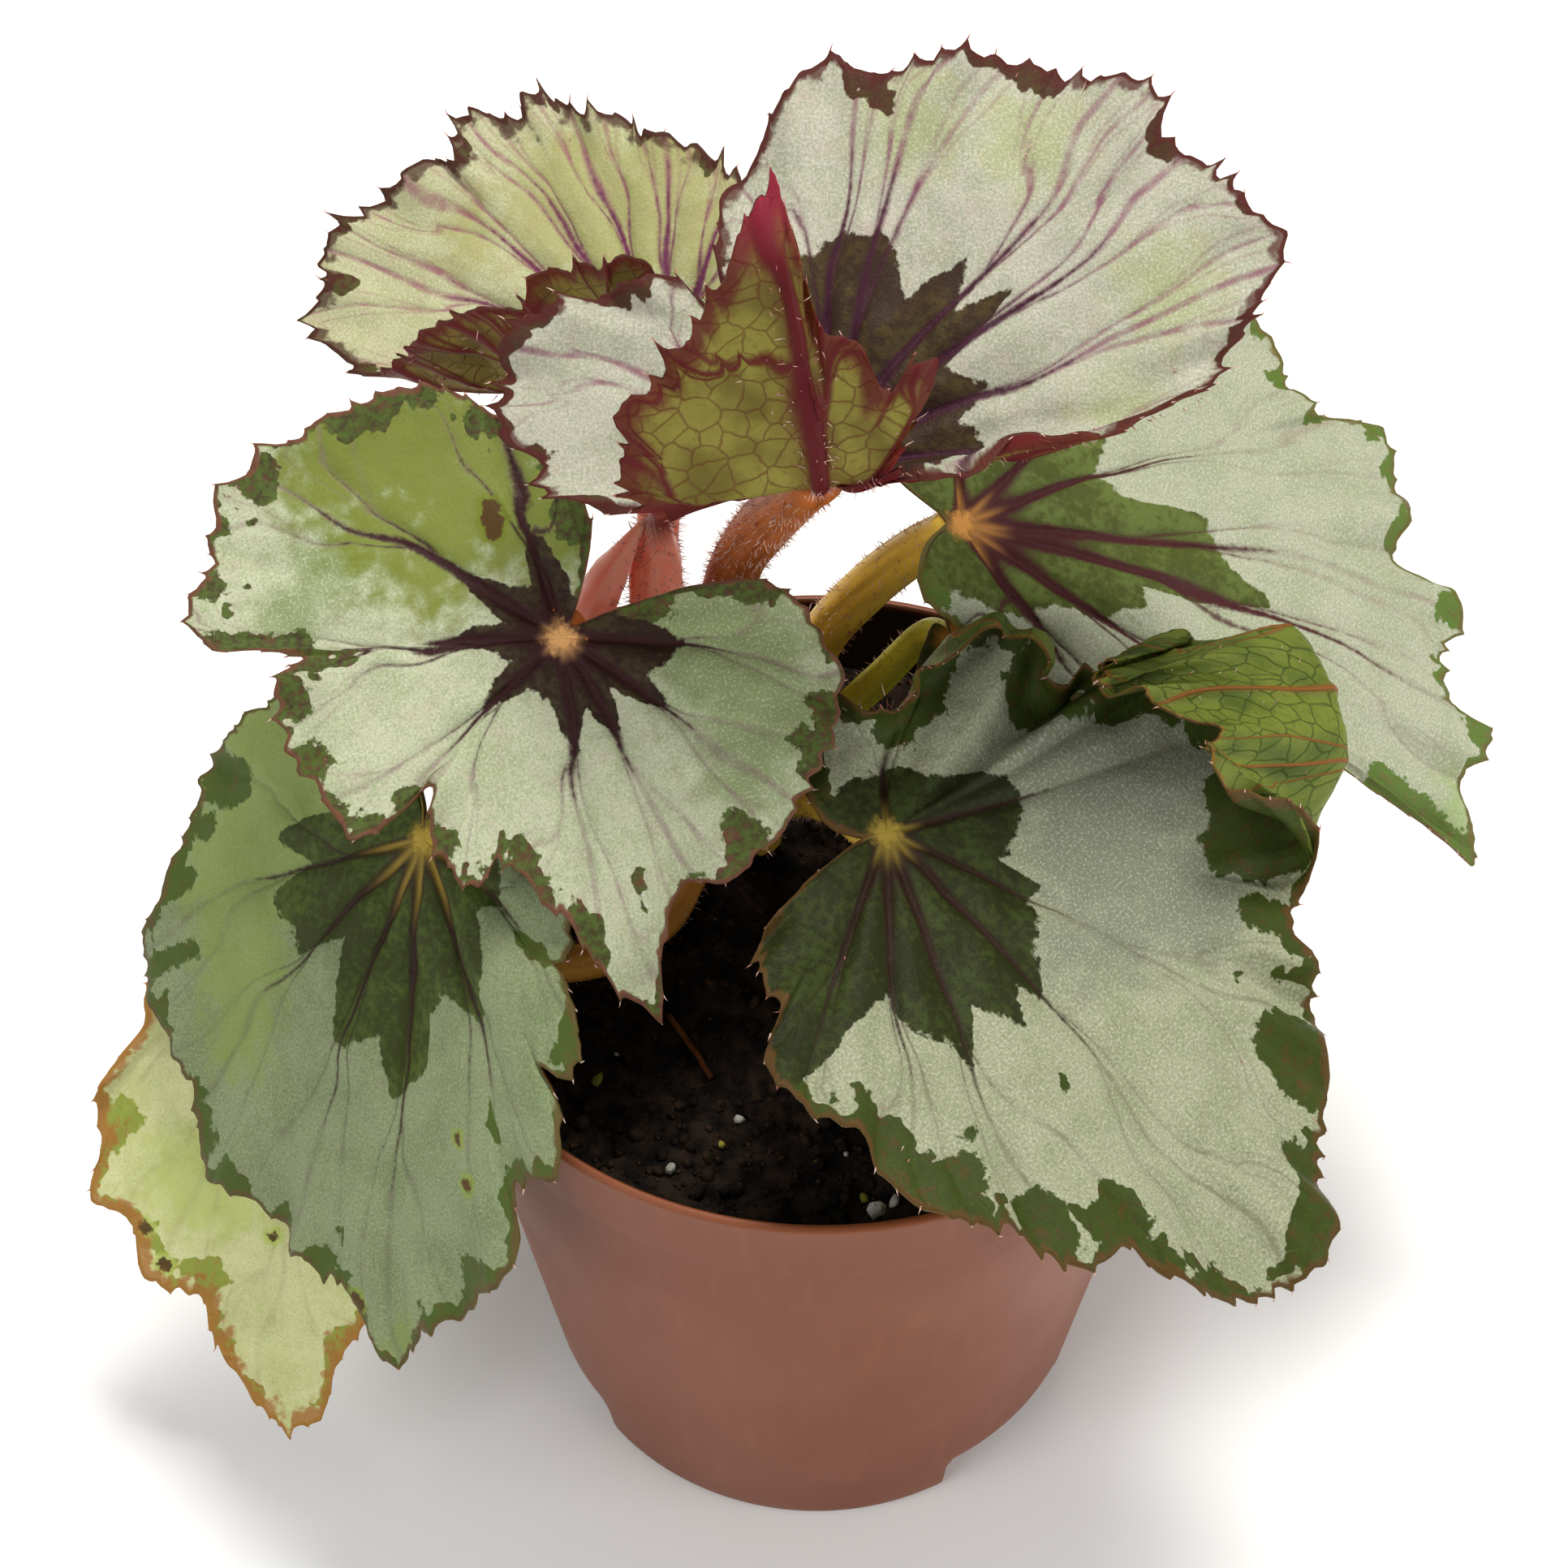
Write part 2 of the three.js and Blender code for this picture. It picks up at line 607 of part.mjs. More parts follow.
function potGeometry() {
  const collarFoot = POT_HEIGHT - COLLAR_HEIGHT;
  const floorTop = FLOOR_THICKNESS;
  let pot = solidOf(turned([
    [0, 0],
    [BASE_RADIUS - 1.4, 0],
    [BASE_RADIUS, 1.6],
    [wallRadius(collarFoot), collarFoot],
    [wallRadius(collarFoot) + COLLAR_STEP, collarFoot + 0.9],
    [RIM_RADIUS, POT_HEIGHT - 1],
    [RIM_RADIUS - 0.4, POT_HEIGHT],
    [RIM_RADIUS - WALL - 0.4, POT_HEIGHT],
    [RIM_RADIUS - WALL - 0.8, POT_HEIGHT - 1],
    [wallRadius(collarFoot) - WALL, collarFoot],
    [wallRadius(floorTop + 1) - WALL - 0.2, floorTop + 1],
    [wallRadius(floorTop) - WALL - 1.2, floorTop],
    [0, floorTop],
  ], POT_SIDES));
  for (let i = 0; i < DRAIN_COUNT; i += 1) {
    const angle = FIRST_DRAIN_ANGLE + (360 / DRAIN_COUNT) * i;
    const depth = 12;
    const cutter = new THREE.BoxGeometry(depth, DRAIN_WIDTH, DRAIN_HEIGHT * 2)
      .translate(depth / 2, 0, 0)
      .rotateY(radians(-DRAIN_SLOPE))
      .translate(DRAIN_DISTANCE, 0, 0)
      .rotateZ(radians(angle));
    pot = pot.subtract(solidOf(cutter));
    const hole = new THREE.CylinderGeometry(DRAIN_HOLE_RADIUS, DRAIN_HOLE_RADIUS, 12, 12)
      .rotateX(Math.PI / 2)
      .translate(DRAIN_DISTANCE - DRAIN_HOLE_INSET, 0, floorTop)
      .rotateZ(radians(angle));
    pot = pot.subtract(solidOf(hole));
  }
  return geometryOf(pot);
}

// Repeatable random numbers between 0 and 1.
function randomSource(seed) {
  let state = seed;
  return () => {
    state = (state * 1664525 + 1013904223) % 4294967296;
    return state / 4294967296;
  };
}

function soilGeometry() {
  const random = randomSource(SOIL_SEED);
  const floor = FLOOR_THICKNESS + CLEARANCE;
  const bottomRadius = wallRadius(floor) - WALL - 1.6;
  const topRadius = wallRadius(SOIL_LEVEL - 4) - WALL - CLEARANCE - 0.5;
  const points = [new THREE.Vector3(0, 0, SOIL_LEVEL + SOIL_MOUND)];
  for (let ring = 1; ring <= SOIL_RINGS; ring += 1) {
    const share = ring / SOIL_RINGS;
    const rough = ring === SOIL_RINGS ? 0.3 : SOIL_ROUGHNESS;
    for (let i = 0; i < POT_SIDES; i += 1) {
      const angle = (2 * Math.PI * i) / POT_SIDES;
      const height = SOIL_LEVEL + SOIL_MOUND * (1 - share * share) + (random() * 2 - 1) * rough;
      const radius = topRadius * share;
      points.push(new THREE.Vector3(Math.cos(angle) * radius, Math.sin(angle) * radius, height));
    }
  }
  for (let i = 0; i < POT_SIDES; i += 1) {
    const angle = (2 * Math.PI * i) / POT_SIDES;
    points.push(new THREE.Vector3(
      Math.cos(angle) * bottomRadius,
      Math.sin(angle) * bottomRadius,
      floor,
    ));
  }
  const bottom = points.push(new THREE.Vector3(0, 0, floor)) - 1;
  const at = (ring, i) => 1 + ring * POT_SIDES + (i % POT_SIDES);
  const index = [];
  for (let i = 0; i < POT_SIDES; i += 1) {
    index.push(0, at(0, i), at(0, i + 1));
    for (let ring = 0; ring < SOIL_RINGS; ring += 1) {
      index.push(at(ring, i), at(ring + 1, i), at(ring + 1, i + 1));
      index.push(at(ring, i), at(ring + 1, i + 1), at(ring, i + 1));
    }
    index.push(bottom, at(SOIL_RINGS, i + 1), at(SOIL_RINGS, i));
  }
  let soil = solidOf(indexedGeometry(points, index));
  const feet = [...Object.values(STALKS), YOUNG_LEAF];
  for (const { path, radii } of feet) {
    const [x, y, bottomZ] = footOf(path[0]);
    const height = STALK_DEPTH * 2;
    const hole = new THREE.CylinderGeometry(radii[0] + 0.5, radii[0] + 0.5, height, 12)
      .rotateX(Math.PI / 2)
      .translate(x, y, bottomZ - CLEARANCE + height / 2);
    soil = soil.subtract(solidOf(hole));
  }
  return geometryOf(soil);
}

// ---------------------------------------------------------------- assembly

function named(name, geometry, color, roughness) {
  const material = new THREE.MeshStandardMaterial({ color, roughness, metalness: 0 });
  const mesh = new THREE.Mesh(geometry, material);
  mesh.name = name;
  return mesh;
}

const plant = new THREE.Group();
plant.add(named('pot', potGeometry(), COLOURS.pot, 0.55));
plant.add(named('soil', soilGeometry(), COLOURS.soil, 0.95));
for (const name of Object.keys(LEAVES)) {
  plant.add(named(`leaf_${name}`, leafBlade(LEAVES[name]), LEAF_COLOURS[name], 0.6));
  plant.add(named(`stalk_${name}`, stalkGeometry(name), STALK_COLOURS[name], 0.6));
}
plant.add(named('young_leaf', youngLeafGeometry(), COLOURS.pink, 0.6));

export default plant;
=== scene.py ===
"""Potted rex begonia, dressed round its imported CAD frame.

Eight silver-marked leaves, their hairy stalks, the young rolled leaf, the peat soil and
the round nursery pot are built as numpy surfaces in millimetres and put into Blender in
metres, each where its CAD node stands. Colours and patterns are procedural.
"""
import logging
import math
from dataclasses import dataclass
from enum import Enum

import bpy
import numpy as np
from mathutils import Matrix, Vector


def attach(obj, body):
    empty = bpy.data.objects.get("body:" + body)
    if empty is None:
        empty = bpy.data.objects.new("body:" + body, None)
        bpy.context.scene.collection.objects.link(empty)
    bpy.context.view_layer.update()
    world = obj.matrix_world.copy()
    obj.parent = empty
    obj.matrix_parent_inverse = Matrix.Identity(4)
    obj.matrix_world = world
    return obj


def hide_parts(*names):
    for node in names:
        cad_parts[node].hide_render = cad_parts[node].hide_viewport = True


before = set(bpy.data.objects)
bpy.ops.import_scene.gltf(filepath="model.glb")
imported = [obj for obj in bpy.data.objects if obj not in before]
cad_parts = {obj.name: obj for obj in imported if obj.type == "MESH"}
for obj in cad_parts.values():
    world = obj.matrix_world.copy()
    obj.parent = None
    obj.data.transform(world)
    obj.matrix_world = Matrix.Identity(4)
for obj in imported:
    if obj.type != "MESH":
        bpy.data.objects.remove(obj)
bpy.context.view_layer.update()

LOG = logging.getLogger("begonia")
MM = 0.001
BLADE_UNIT = 100.0  # millimetres of flat leaf or stalk skin to one unit of a UV map
LATTICE = 64  # random numbers each way in a noise table, and in a table of forks

Array = np.ndarray
Points = tuple[tuple[float, ...], ...]
NO_FACES = np.zeros((0, 3), int)


class Slot(Enum):
    """The record's finishes, one of which is passed with each new piece."""

    POT = "pot_plastic"
    SOIL = "soil"
    SILVER = "leaf_silver"
    PALE = "leaf_pale"
    GREEN = "leaf_green"
    RED = "stalk_red"
    PINK = "stalk_pink"
    OCHRE = "stalk_ochre"


# ------------------------------------------------------------------------- small maths

def smooth(x: Array) -> Array:
    """Smooth step: x is held to 0..1, then x squared times (3 - 2x)."""
    x = np.clip(x, 0.0, 1.0)
    return x * x * (3.0 - 2.0 * x)


def bead(x: Array, width: float) -> Array:
    """A rounded line, 1 on it: e to the power of minus (x over width) squared."""
    return np.exp(-((x / width) ** 2))


def signed(angle: Array) -> Array:
    """An angle in degrees, brought to -180..180."""
    return np.mod(angle + 180.0, 360.0) - 180.0


def unit(vectors: Array) -> Array:
    """Vectors divided by their own lengths."""
    return vectors / np.maximum(np.linalg.norm(vectors, axis=-1, keepdims=True), 1e-12)


def turns(count: int) -> Array:
    """Equal steps of one full turn, in radians from 0."""
    return np.arange(count) * 2 * math.pi / count


def spread(across: Array, other: Array, count: int) -> Array:
    """Directions round a path: across times the cosine plus other times the sine."""
    turn = turns(count)[:, None]
    return across[:, None] * np.cos(turn) + other[:, None] * np.sin(turn)


def value_noise(x: Array, y: Array, cell: float, seed: int) -> Array:
    """Random heights from -1 to 1 on a square lattice, blended by the smooth step.

    Args:
        x, y: where the heights are wanted.
        cell: lattice spacing, in the same unit as x and y.
        seed: picks the random table.

    Returns:
        One height for each place.
    """
    table = np.random.default_rng(seed).uniform(-1.0, 1.0, (LATTICE, LATTICE))
    u, v = x / cell, y / cell
    i, j = np.floor(u).astype(int), np.floor(v).astype(int)
    su, sv = smooth(u - i), smooth(v - j)
    i, k, j, m = i % LATTICE, (i + 1) % LATTICE, j % LATTICE, (j + 1) % LATTICE
    low = table[i, j] * (1 - su) + table[k, j] * su
    high = table[i, m] * (1 - su) + table[k, m] * su
    return low * (1 - sv) + high * sv


def catmull(points: Array, stations: int) -> Array:
    """A uniform Catmull-Rom curve through points, at even steps of its own length.

    Each span is the cubic with slopes half the chord between its neighbours, and the
    ends are mirrored.

    Args:
        points: the points it passes through.
        stations: how many places are wanted.

    Returns:
        One row for each place.
    """
    ends = np.concatenate([[2 * points[0] - points[1]], points, [2 * points[-1] - points[-2]]])
    u = np.linspace(0.0, 1.0, 40, endpoint=False)[None, :, None]
    a, b, c, d = (ends[k:len(ends) - 3 + k][:, None] for k in range(4))
    fine = 0.5 * (2 * b + (c - a) * u + (2 * a - 5 * b + 4 * c - d) * u ** 2
                  + (3 * b - a - 3 * c + d) * u ** 3)
    fine = np.concatenate([fine.reshape(-1, 3), points[-1:]])
    length = np.append(0.0, np.cumsum(np.linalg.norm(np.diff(fine, axis=0), axis=1)))
    place = np.linspace(0.0, length[-1], stations)
    return np.stack([np.interp(place, length, fine[:, k]) for k in range(3)], -1)


def carried_frame(centres: Array) -> tuple[Array, Array, Array]:
    """Tangents along a path, and two unit vectors across it that are carried along."""
    tangents = unit(np.gradient(centres, axis=0))
    spare = np.array([0.3, 1.0, 0.2])
    across = [unit(spare - tangents[0] * (spare @ tangents[0]))]
    for tangent in tangents[1:]:
        across.append(unit(across[-1] - tangent * (across[-1] @ tangent)))
    across = np.array(across)
    return tangents, across, np.cross(tangents, across)


class RoundCurve:
    """A closed curve of value against angle through given points, without overshoot.

    Between two points it is the cubic Hermite blend. The slope at a point is the weighted
    harmonic mean of its two chords, 0 at a high or low point, and at a corner each side
    keeps its own chord's slope.
    """

    def __init__(self, points: Points) -> None:
        """Sorts the points by angle and works out their slopes."""
        rows = sorted((p[0] % 360.0, p[1], float(len(p) > 2)) for p in points)
        self.angle, self.value, corner = np.array(rows).T
        corner = corner > 0
        self.width = np.diff(np.append(self.angle, self.angle[0] + 360.0))
        after = (np.roll(self.value, -1) - self.value) / self.width
        before, narrow = np.roll(after, 1), np.roll(self.width, 1)
        a, b = 2 * self.width + narrow, self.width + 2 * narrow
        same = before * after > 0
        mean = (a + b) / (a / np.where(same, before, 1) + b / np.where(same, after, 1))
        mean = np.where(same, mean, 0.0)
        self.slope_in = np.where(corner, before, mean)
        self.slope_out = np.where(corner, after, mean)

    def __call__(self, angle: Array) -> Array:
        """The curve's value at each angle in degrees."""
        turned = np.mod(angle - self.angle[0], 360.0) + self.angle[0]
        i = np.clip(np.searchsorted(self.angle, turned, side="right") - 1, 0, None)
        k = (i + 1) % len(self.angle)
        width = self.width[i]
        t = (turned - self.angle[i]) / width
        t2, t3 = t * t, t * t * t
        return (
            (2 * t3 - 3 * t2 + 1) * self.value[i]
            + (t3 - 2 * t2 + t) * self.slope_out[i] * width
            + (3 * t2 - 2 * t3) * self.value[k]
            + (t3 - t2) * self.slope_in[k] * width
        )


# ----------------------------------------------------------------------------- meshes

def put_mesh(
    name: str,
    points: Array,
    quads: Array,
    tris: Array,
    inks: tuple[bpy.types.Material, ...],
    slot: Slot | None = None,
    node: str | None = None,
    ink_of_face: Array | None = None,
) -> bpy.types.Object:
    """Makes a smooth-shaded piece from whole arrays and lets it ride on the root body.

    Args:
        name: the piece's name.
        points: corners in millimetres, one row each.
        quads: four corner numbers to a row.
        tris: three corner numbers to a row, laid after the quads.
        inks: the materials.
        slot: not used.
        node: the CAD node that it stands for, if any.
        ink_of_face: which material each face has, or None for the first.

    Returns:
        The new object.
    """
    corners = np.concatenate([quads.ravel(), tris.ravel()]).astype(np.int32)
    sizes = np.concatenate([np.full(len(quads), 4), np.full(len(tris), 3)])
    starts = np.concatenate([[0], np.cumsum(sizes)[:-1]]).astype(np.int32)
    mesh = bpy.data.meshes.new(name)
    mesh.vertices.add(len(points))
    mesh.vertices.foreach_set("co", (points * MM).astype(np.float32).ravel())
    mesh.loops.add(len(corners))
    mesh.loops.foreach_set("vertex_index", corners)
    mesh.polygons.add(len(sizes))
    mesh.polygons.foreach_set("loop_start", starts)
    for ink in inks:
        mesh.materials.append(ink)
    if ink_of_face is not None:
        mesh.polygons.foreach_set("material_index", ink_of_face.astype(np.int32))
    mesh.update(calc_edges=True)
    mesh.validate()
    mesh.shade_smooth()
    piece = bpy.data.objects.new(name, mesh)
    bpy.context.scene.collection.objects.link(piece)
    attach(piece, "root")
    if node:
        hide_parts(node)
    return piece


def add_field(piece: bpy.types.Object, name: str, values: Array) -> None:
    """Stores one number for each corner of the mesh, for its material to read."""
    store = piece.data.attributes.new(name, "FLOAT", "POINT")
    store.data.foreach_set("value", values.astype(np.float32).ravel())


def add_uv(piece: bpy.types.Object, name: str, flat: Array) -> None:
    """Stores a UV map from one pair of millimetre numbers for each corner of the mesh."""
    corners = np.zeros(len(piece.data.loops), np.int32)
    piece.data.loops.foreach_get("vertex_index", corners)
    layer = piece.data.uv_layers.new(name=name)
    layer.data.foreach_set("uv", (flat / BLADE_UNIT)[corners].astype(np.float32).ravel())


def grid_faces(rows: int, columns: int, first: int = 0) -> Array:
    """Quads of a grid of points stored row by row, whose last column joins the first.

    Args:
        rows, columns: how many points each way.
        first: number of the grid's first point.

    Returns:
        Four corner numbers to a row, turning from row to row, then column to column.
    """
    i = np.arange(columns)
    j = np.arange(rows - 1)[:, None]
    a, b = first + j * columns + i, first + j * columns + (i + 1) % columns
    return np.stack([a, a + columns, b + columns, b], -1).reshape(-1, 4)


def fan(hub: int, first: int, count: int, flip: bool = False) -> Array:
    """Triangles that close a ring of points at one hub point.

    Args:
        hub: number of the hub point.
        first: number of the ring's first point.
        count: how many points the ring has.
        flip: turns the triangles' other side out.

    Returns:
        Three corner numbers to a row.
    """
    i = np.arange(count)
    pair = [first + i, first + (i + 1) % count]
    return np.stack([np.full(count, hub), *(pair[::-1] if flip else pair)], -1)


def closed_tube(rings: Array) -> tuple[Array, Array, Array]:
    """Joins rings of points into a tube, with each end closed at its ring's middle.

    Args:
        rings: points by ring, by place in the ring, by axis.

    Returns:
        Points, quads and triangles. The two middles are the last points.
    """
    stations, sides = rings.shape[:2]
    count = stations * sides
    points = np.concatenate([rings.reshape(-1, 3), [rings[0].mean(0), rings[-1].mean(0)]])
    tris = np.concatenate([fan(count, 0, sides, True), fan(count + 1, count - sides, sides)])
    return points, grid_faces(stations, sides)[:, ::-1], tris


def hair_mesh(roots: Array, ways: Array, lengths: Array, width: float, droop: float,
              seed: int) -> tuple[Array, Array, Array]:
    """Tapered hairs: a triangle at the root, a smaller one half way, and a tip.

    The middle triangle stands at 0.55 of the length, moved sideways by 0.35 of the
    tip's own sideways droop, and is 0.62 as wide as the root.

    Args:
        roots, ways: where each hair starts and the unit direction it takes.
        lengths: each hair's length.
        width: radius at the root.
        droop: how far the hairs curve sideways, as a share of their length.
        seed: for the sideways curves.

    Returns:
        Points, quads and triangles.
    """
    random = np.random.default_rng(seed)
    side = unit(np.cross(ways, unit(random.normal(size=(len(roots), 3)))))
    ring = spread(side, np.cross(ways, side), 3)
    along, curve = ways * lengths[:, None], side * lengths[:, None] * droop
    middle = roots + along * 0.55 + curve * 0.35
    points = np.concatenate([
        roots[:, None] + ring * width,
        middle[:, None] + ring * width * 0.62,
        (roots + along + curve)[:, None],
    ], 1)
    first = np.arange(len(roots))[:, None, None] * points.shape[1]
    quads = np.array([[0, 1, 4, 3], [1, 2, 5, 4], [2, 0, 3, 5]])
    tris = np.array([[3, 4, 6], [4, 5, 6], [5, 3, 6], [2, 1, 0]])
    return points.reshape(-1, 3), (first + quads).reshape(-1, 4), (first + tris).reshape(-1, 3)


# ---------------------------------------------------------------------------- finishes

def linear(colour: str) -> tuple[float, float, float, float]:
    """An sRGB hex colour as linear red, green, blue and full alpha.

    Each channel is a straight line at its foot, then a 2.4 power.
    """
    parts = [int(colour[k:k + 2], 16) / 255.0 for k in (1, 3, 5)]
    return (*(c / 12.92 if c <= 0.04045 else ((c + 0.055) / 1.055) ** 2.4 for c in parts), 1.0)


STEP = {"interpolation_type": "SMOOTHSTEP"}  # a MapRange node that starts and ends softly
FLAT = {"noise_dimensions": "2D"}  # a noise node that reads a flat map


class Ink:
    """One procedural material and the node tree behind it."""

    def __init__(self, name: str) -> None:
        """Starts an empty node tree under the material's name."""
        self.material = bpy.data.materials.new(name)
        self.material.use_nodes = True
        self.nodes = self.material.node_tree.nodes
        self.links = self.material.node_tree.links
        self.nodes.clear()

    def add(self, kind: str, *inputs: object, out: int | str = 0,
            sockets: dict[int | str, object] | None = None, **settings: object) -> object:
        """Adds a node with its settings and links.

        Args:
            kind: the node's type without its ShaderNode prefix.
            inputs: values or outputs for the first sockets in order.
            out: which output is given back.
            sockets: values or outputs for sockets by number or name.
            settings: the node's own properties.

        Returns:
            The chosen output socket, or the node where it has none.
        """
        node = self.nodes.new("ShaderNode" + kind)
        for key, value in settings.items():
            setattr(node, key, value)
        for key, value in (dict(enumerate(inputs)) | (sockets or {})).items():
            if isinstance(value, bpy.types.NodeSocket):
                self.links.new(value, node.inputs[key])
            else:
                node.inputs[key].default_value = value
        return node.outputs[out] if node.outputs else node

    def roughened(self, value: object, noise: object, size: float) -> object:
        """The value plus noise about zero: noise times twice the size, less the size."""
        centred = self.add("Math", noise, 2 * size, -size, operation="MULTIPLY_ADD")
        return self.add("Math", centred, value, operation="ADD")

    def painted(self, ground: object, *coats: tuple) -> object:
        """Lays coats of colour on a ground, each where its own value says.

        A coat is its colour and its share, or its colour, a value, that value's low and
        high, and the shares at those two, 0 and 1 where not given, with a smooth step
        between them.

        Args:
            ground: the lowest colour. Colours are sRGB hex or a node's output.
            coats: from the first to the last.

        Returns:
            The painted colour's output.
        """
        for colour, share, *steps in coats:
            if steps:
                share = self.add("MapRange", share, *steps, **STEP)
            pair = [linear(c) if isinstance(c, str) else c for c in (ground, colour)]
            ground = self.add("Mix", share, data_type="RGBA", out=2,
                              sockets={6: pair[0], 7: pair[1]})
        return ground

    def finish(self, **sockets: object) -> bpy.types.Material:
        """Ends in a Principled shader, whose sockets are named with _ for each space."""
        named = {key.replace("_", " "): value for key, value in sockets.items()}
        self.add("OutputMaterial", self.add("BsdfPrincipled", sockets=named))
        return self.material


@dataclass(frozen=True)
class LeafFinish:
    """Rex begonia leaf skin: silver-scaled upper face, olive underside, red-brown veins.

    Silver comes from air pockets under the skin, so it glitters in grains of a third of
    a millimetre. The dark centre and the margin are plain green skin, sunk veins are
    maroon, and the whole blade is softly glossy and lets a little light through.

    Sizes are in millimetres of flat leaf. hub_reach and hub_arms are how far the yellow
    hub runs out between and along the veins, margin_reach and margin_bias how deep the
    green margin goes, and how seldom. rust, thread, cloud, lime_share and net_share are
    the most that those coats cover. under_line widens the veins of the underside.
    """

    name: str
    silver: str = "#b9bfa2"
    silver_dark: str = "#8f9b78"
    blush: str = "#b59c8e"
    # Pale grains: partly the silver's own paler cells, partly painted glints of light.
    glint: str = "#dfe2d2"
    # Painted shade: the grey-green laid in given zones where the blade lies in shade.
    painted_shade: str = "#7c806a"
    lime: str = "#8b9838"
    speck: str = "#4a3018"
    centre: str = "#34381c"
    centre_light: str = "#4b5426"
    vein: str = "#3a221f"
    vein_far: str = "#93807a"
    hub: str = "#c08a3c"
    margin: str = "#4a5a24"
    edge: str = "#6b3a28"
    under: str = "#7b8433"
    under_dark: str = "#4c5a20"
    under_vein: str = "#6e2a22"
    net: str = "#4c5a20"
    tip: str = "#8e2438"
    grain: float = 0.36
    hub_reach: float = 4.0
    hub_arms: float = 8.0
    margin_reach: float = 3.2
    margin_bias: float = 0.5
    edge_width: float = 0.5
    thread_width: float = 0.75
    net_size: float = 2.8
    under_line: float = 1.0
    rust: float = 0.6
    thread: float = 0.6
    cloud: float = 0.45
    lime_share: float = 0.9
    net_share: float = 0.5

    def fields(self, ink: Ink, names: tuple[str, ...]) -> dict[str, object]:
        """The numbers stored on the blade, with off_ before a vein's distance."""
        stored = {name: ink.add("Attribute", attribute_name=name, out=2) for name in names}
        return stored | {f"off_{name}": ink.add("Math", stored[name], operation="ABSOLUTE")
                         for name in ("vein", "fork", "twig")}

    def upper(self) -> bpy.types.Material:
        """The upper face: silver, threads, green margin, dark centre, veins, hub, edge."""
        ink = Ink(f"{self.name} upper skin")
        flat = ink.add("UVMap", uv_map="blade")
        broad, middling, small, grain = (
            ink.add("TexNoise", flat, **FLAT, sockets={
                "Scale": BLADE_UNIT / size, "Detail": detail, "Roughness": rough})
            for size, detail, rough in ((9.0, 3.0, 0.55), (3.0, 3.0, 0.55),
                                        (1.1, 4.0, 0.65), (self.grain, 2.0, 0.7)))
        at = self.fields(ink, ("vein", "fork", "twig", "spike", "rim", "star", "away",
                               "patch", "lime", "painted_shade", "speck"))

        # Silver: two greens of silver by broad noise, then blush, painted shade in given zones,
        # pale grains with painted glints, and lime.
        colour = ink.painted(
            self.silver_dark,
            (self.silver, ink.roughened(broad, small, 0.35), 0.25, 0.65, 1 - self.cloud, 1.0),
            (self.blush, ink.roughened(middling, grain, 0.5), 0.5, 0.95, 0.0, 0.6),
            # Painted shade: grey-green over the silver in the given zones, where the blade lies
            # in shade.
            (self.painted_shade, ink.roughened(at["painted_shade"], middling, 0.4), 0.1, 0.8, 0.0, 0.8),
            # Painted glints: pale grains that stand for the silver's sparkle, partly its own
            # paler cells.
            (self.glint, grain, 0.5, 0.74, 0.0, 0.42),
            (self.silver_dark, grain, 0.5, 0.26, 0.0, 0.6),
            (self.lime, ink.roughened(at["lime"], middling, 0.45), 0.15, 0.75, 0.0,
             self.lime_share))

        # Veins on the silver: pinkish threads that fade outwards, thinner at each fork.
        near_vein, near_fork, near_twig = (
            ink.add("MapRange", at[name], wide, thin, **STEP)
            for name, wide, thin in (("off_vein", self.thread_width, 0.1),
                                     ("off_fork", self.thread_width * 0.7, 0.05),
                                     ("off_twig", 0.4, 0.0)))
        thin_ones = ink.add("Math", near_fork, 0.75, operation="MULTIPLY")
        thin_ones = ink.add("Math", near_twig, 0.4, thin_ones, operation="MULTIPLY_ADD")
        threads = ink.add("Math", near_vein, thin_ones, operation="MAXIMUM")
        threads = ink.add("Math", threads, operation="MULTIPLY", sockets={
            1: ink.add("MapRange", middling, 0.2, 0.75, 0.35, 1.0, **STEP)})
        shown = ink.add("Math", threads, self.thread, operation="MULTIPLY")

        # Green margin in ragged blotches, and green patches where they are given.
        reach = 9.0 * self.margin_reach
        depth = ink.add("Math", broad, reach, -reach * self.margin_bias,
                        operation="MULTIPLY_ADD")
        depth = ink.add("Math", ink.roughened(depth, small, 0.8), 0.55, operation="MAXIMUM")
        border = ink.add("Math", at["rim"], depth, operation="SUBTRACT")
        spot = ink.roughened(ink.roughened(at["patch"], small, 1.1), middling, 1.6)
        green = ink.add("Math", operation="MAXIMUM", sockets={
            0: ink.add("MapRange", border, 0.18, -0.18, **STEP),
            1: ink.add("MapRange", spot, 0.2, -0.2, **STEP)})
        green_skin = ink.painted(
            self.margin, (self.centre_light, small, 0.35, 0.7),
            (self.edge, ink.roughened(middling, small, 0.5), 0.5, 0.85, 0.0, self.rust))

        # Dark centre with an irregular edge, mottled by its cells.
        star = ink.roughened(ink.roughened(at["star"], small, 0.88), middling, 1.28)
        inside = ink.add("MapRange", star, 0.25, -0.25, **STEP)
        skin = ink.painted(self.centre, (self.centre_light, ink.roughened(broad, small, 0.5),
                                         0.35, 0.75))

        # Maroon veins, broad at the hub and running out to points.
        line = ink.add("Math", at["spike"], at["off_vein"], operation="SUBTRACT")
        side = ink.add("Math", at["spike"], 0.6, operation="MULTIPLY")
        side = ink.add("Math", side, at["off_fork"], operation="SUBTRACT")
        dark_vein = ink.add("Math", operation="MAXIMUM", sockets={
            0: ink.add("MapRange", ink.roughened(line, small, 0.35), -0.25, 0.35, **STEP),
            1: ink.add("MapRange", ink.roughened(side, small, 0.3), -0.1, 0.35, 0.0, 0.85,
                       **STEP)})

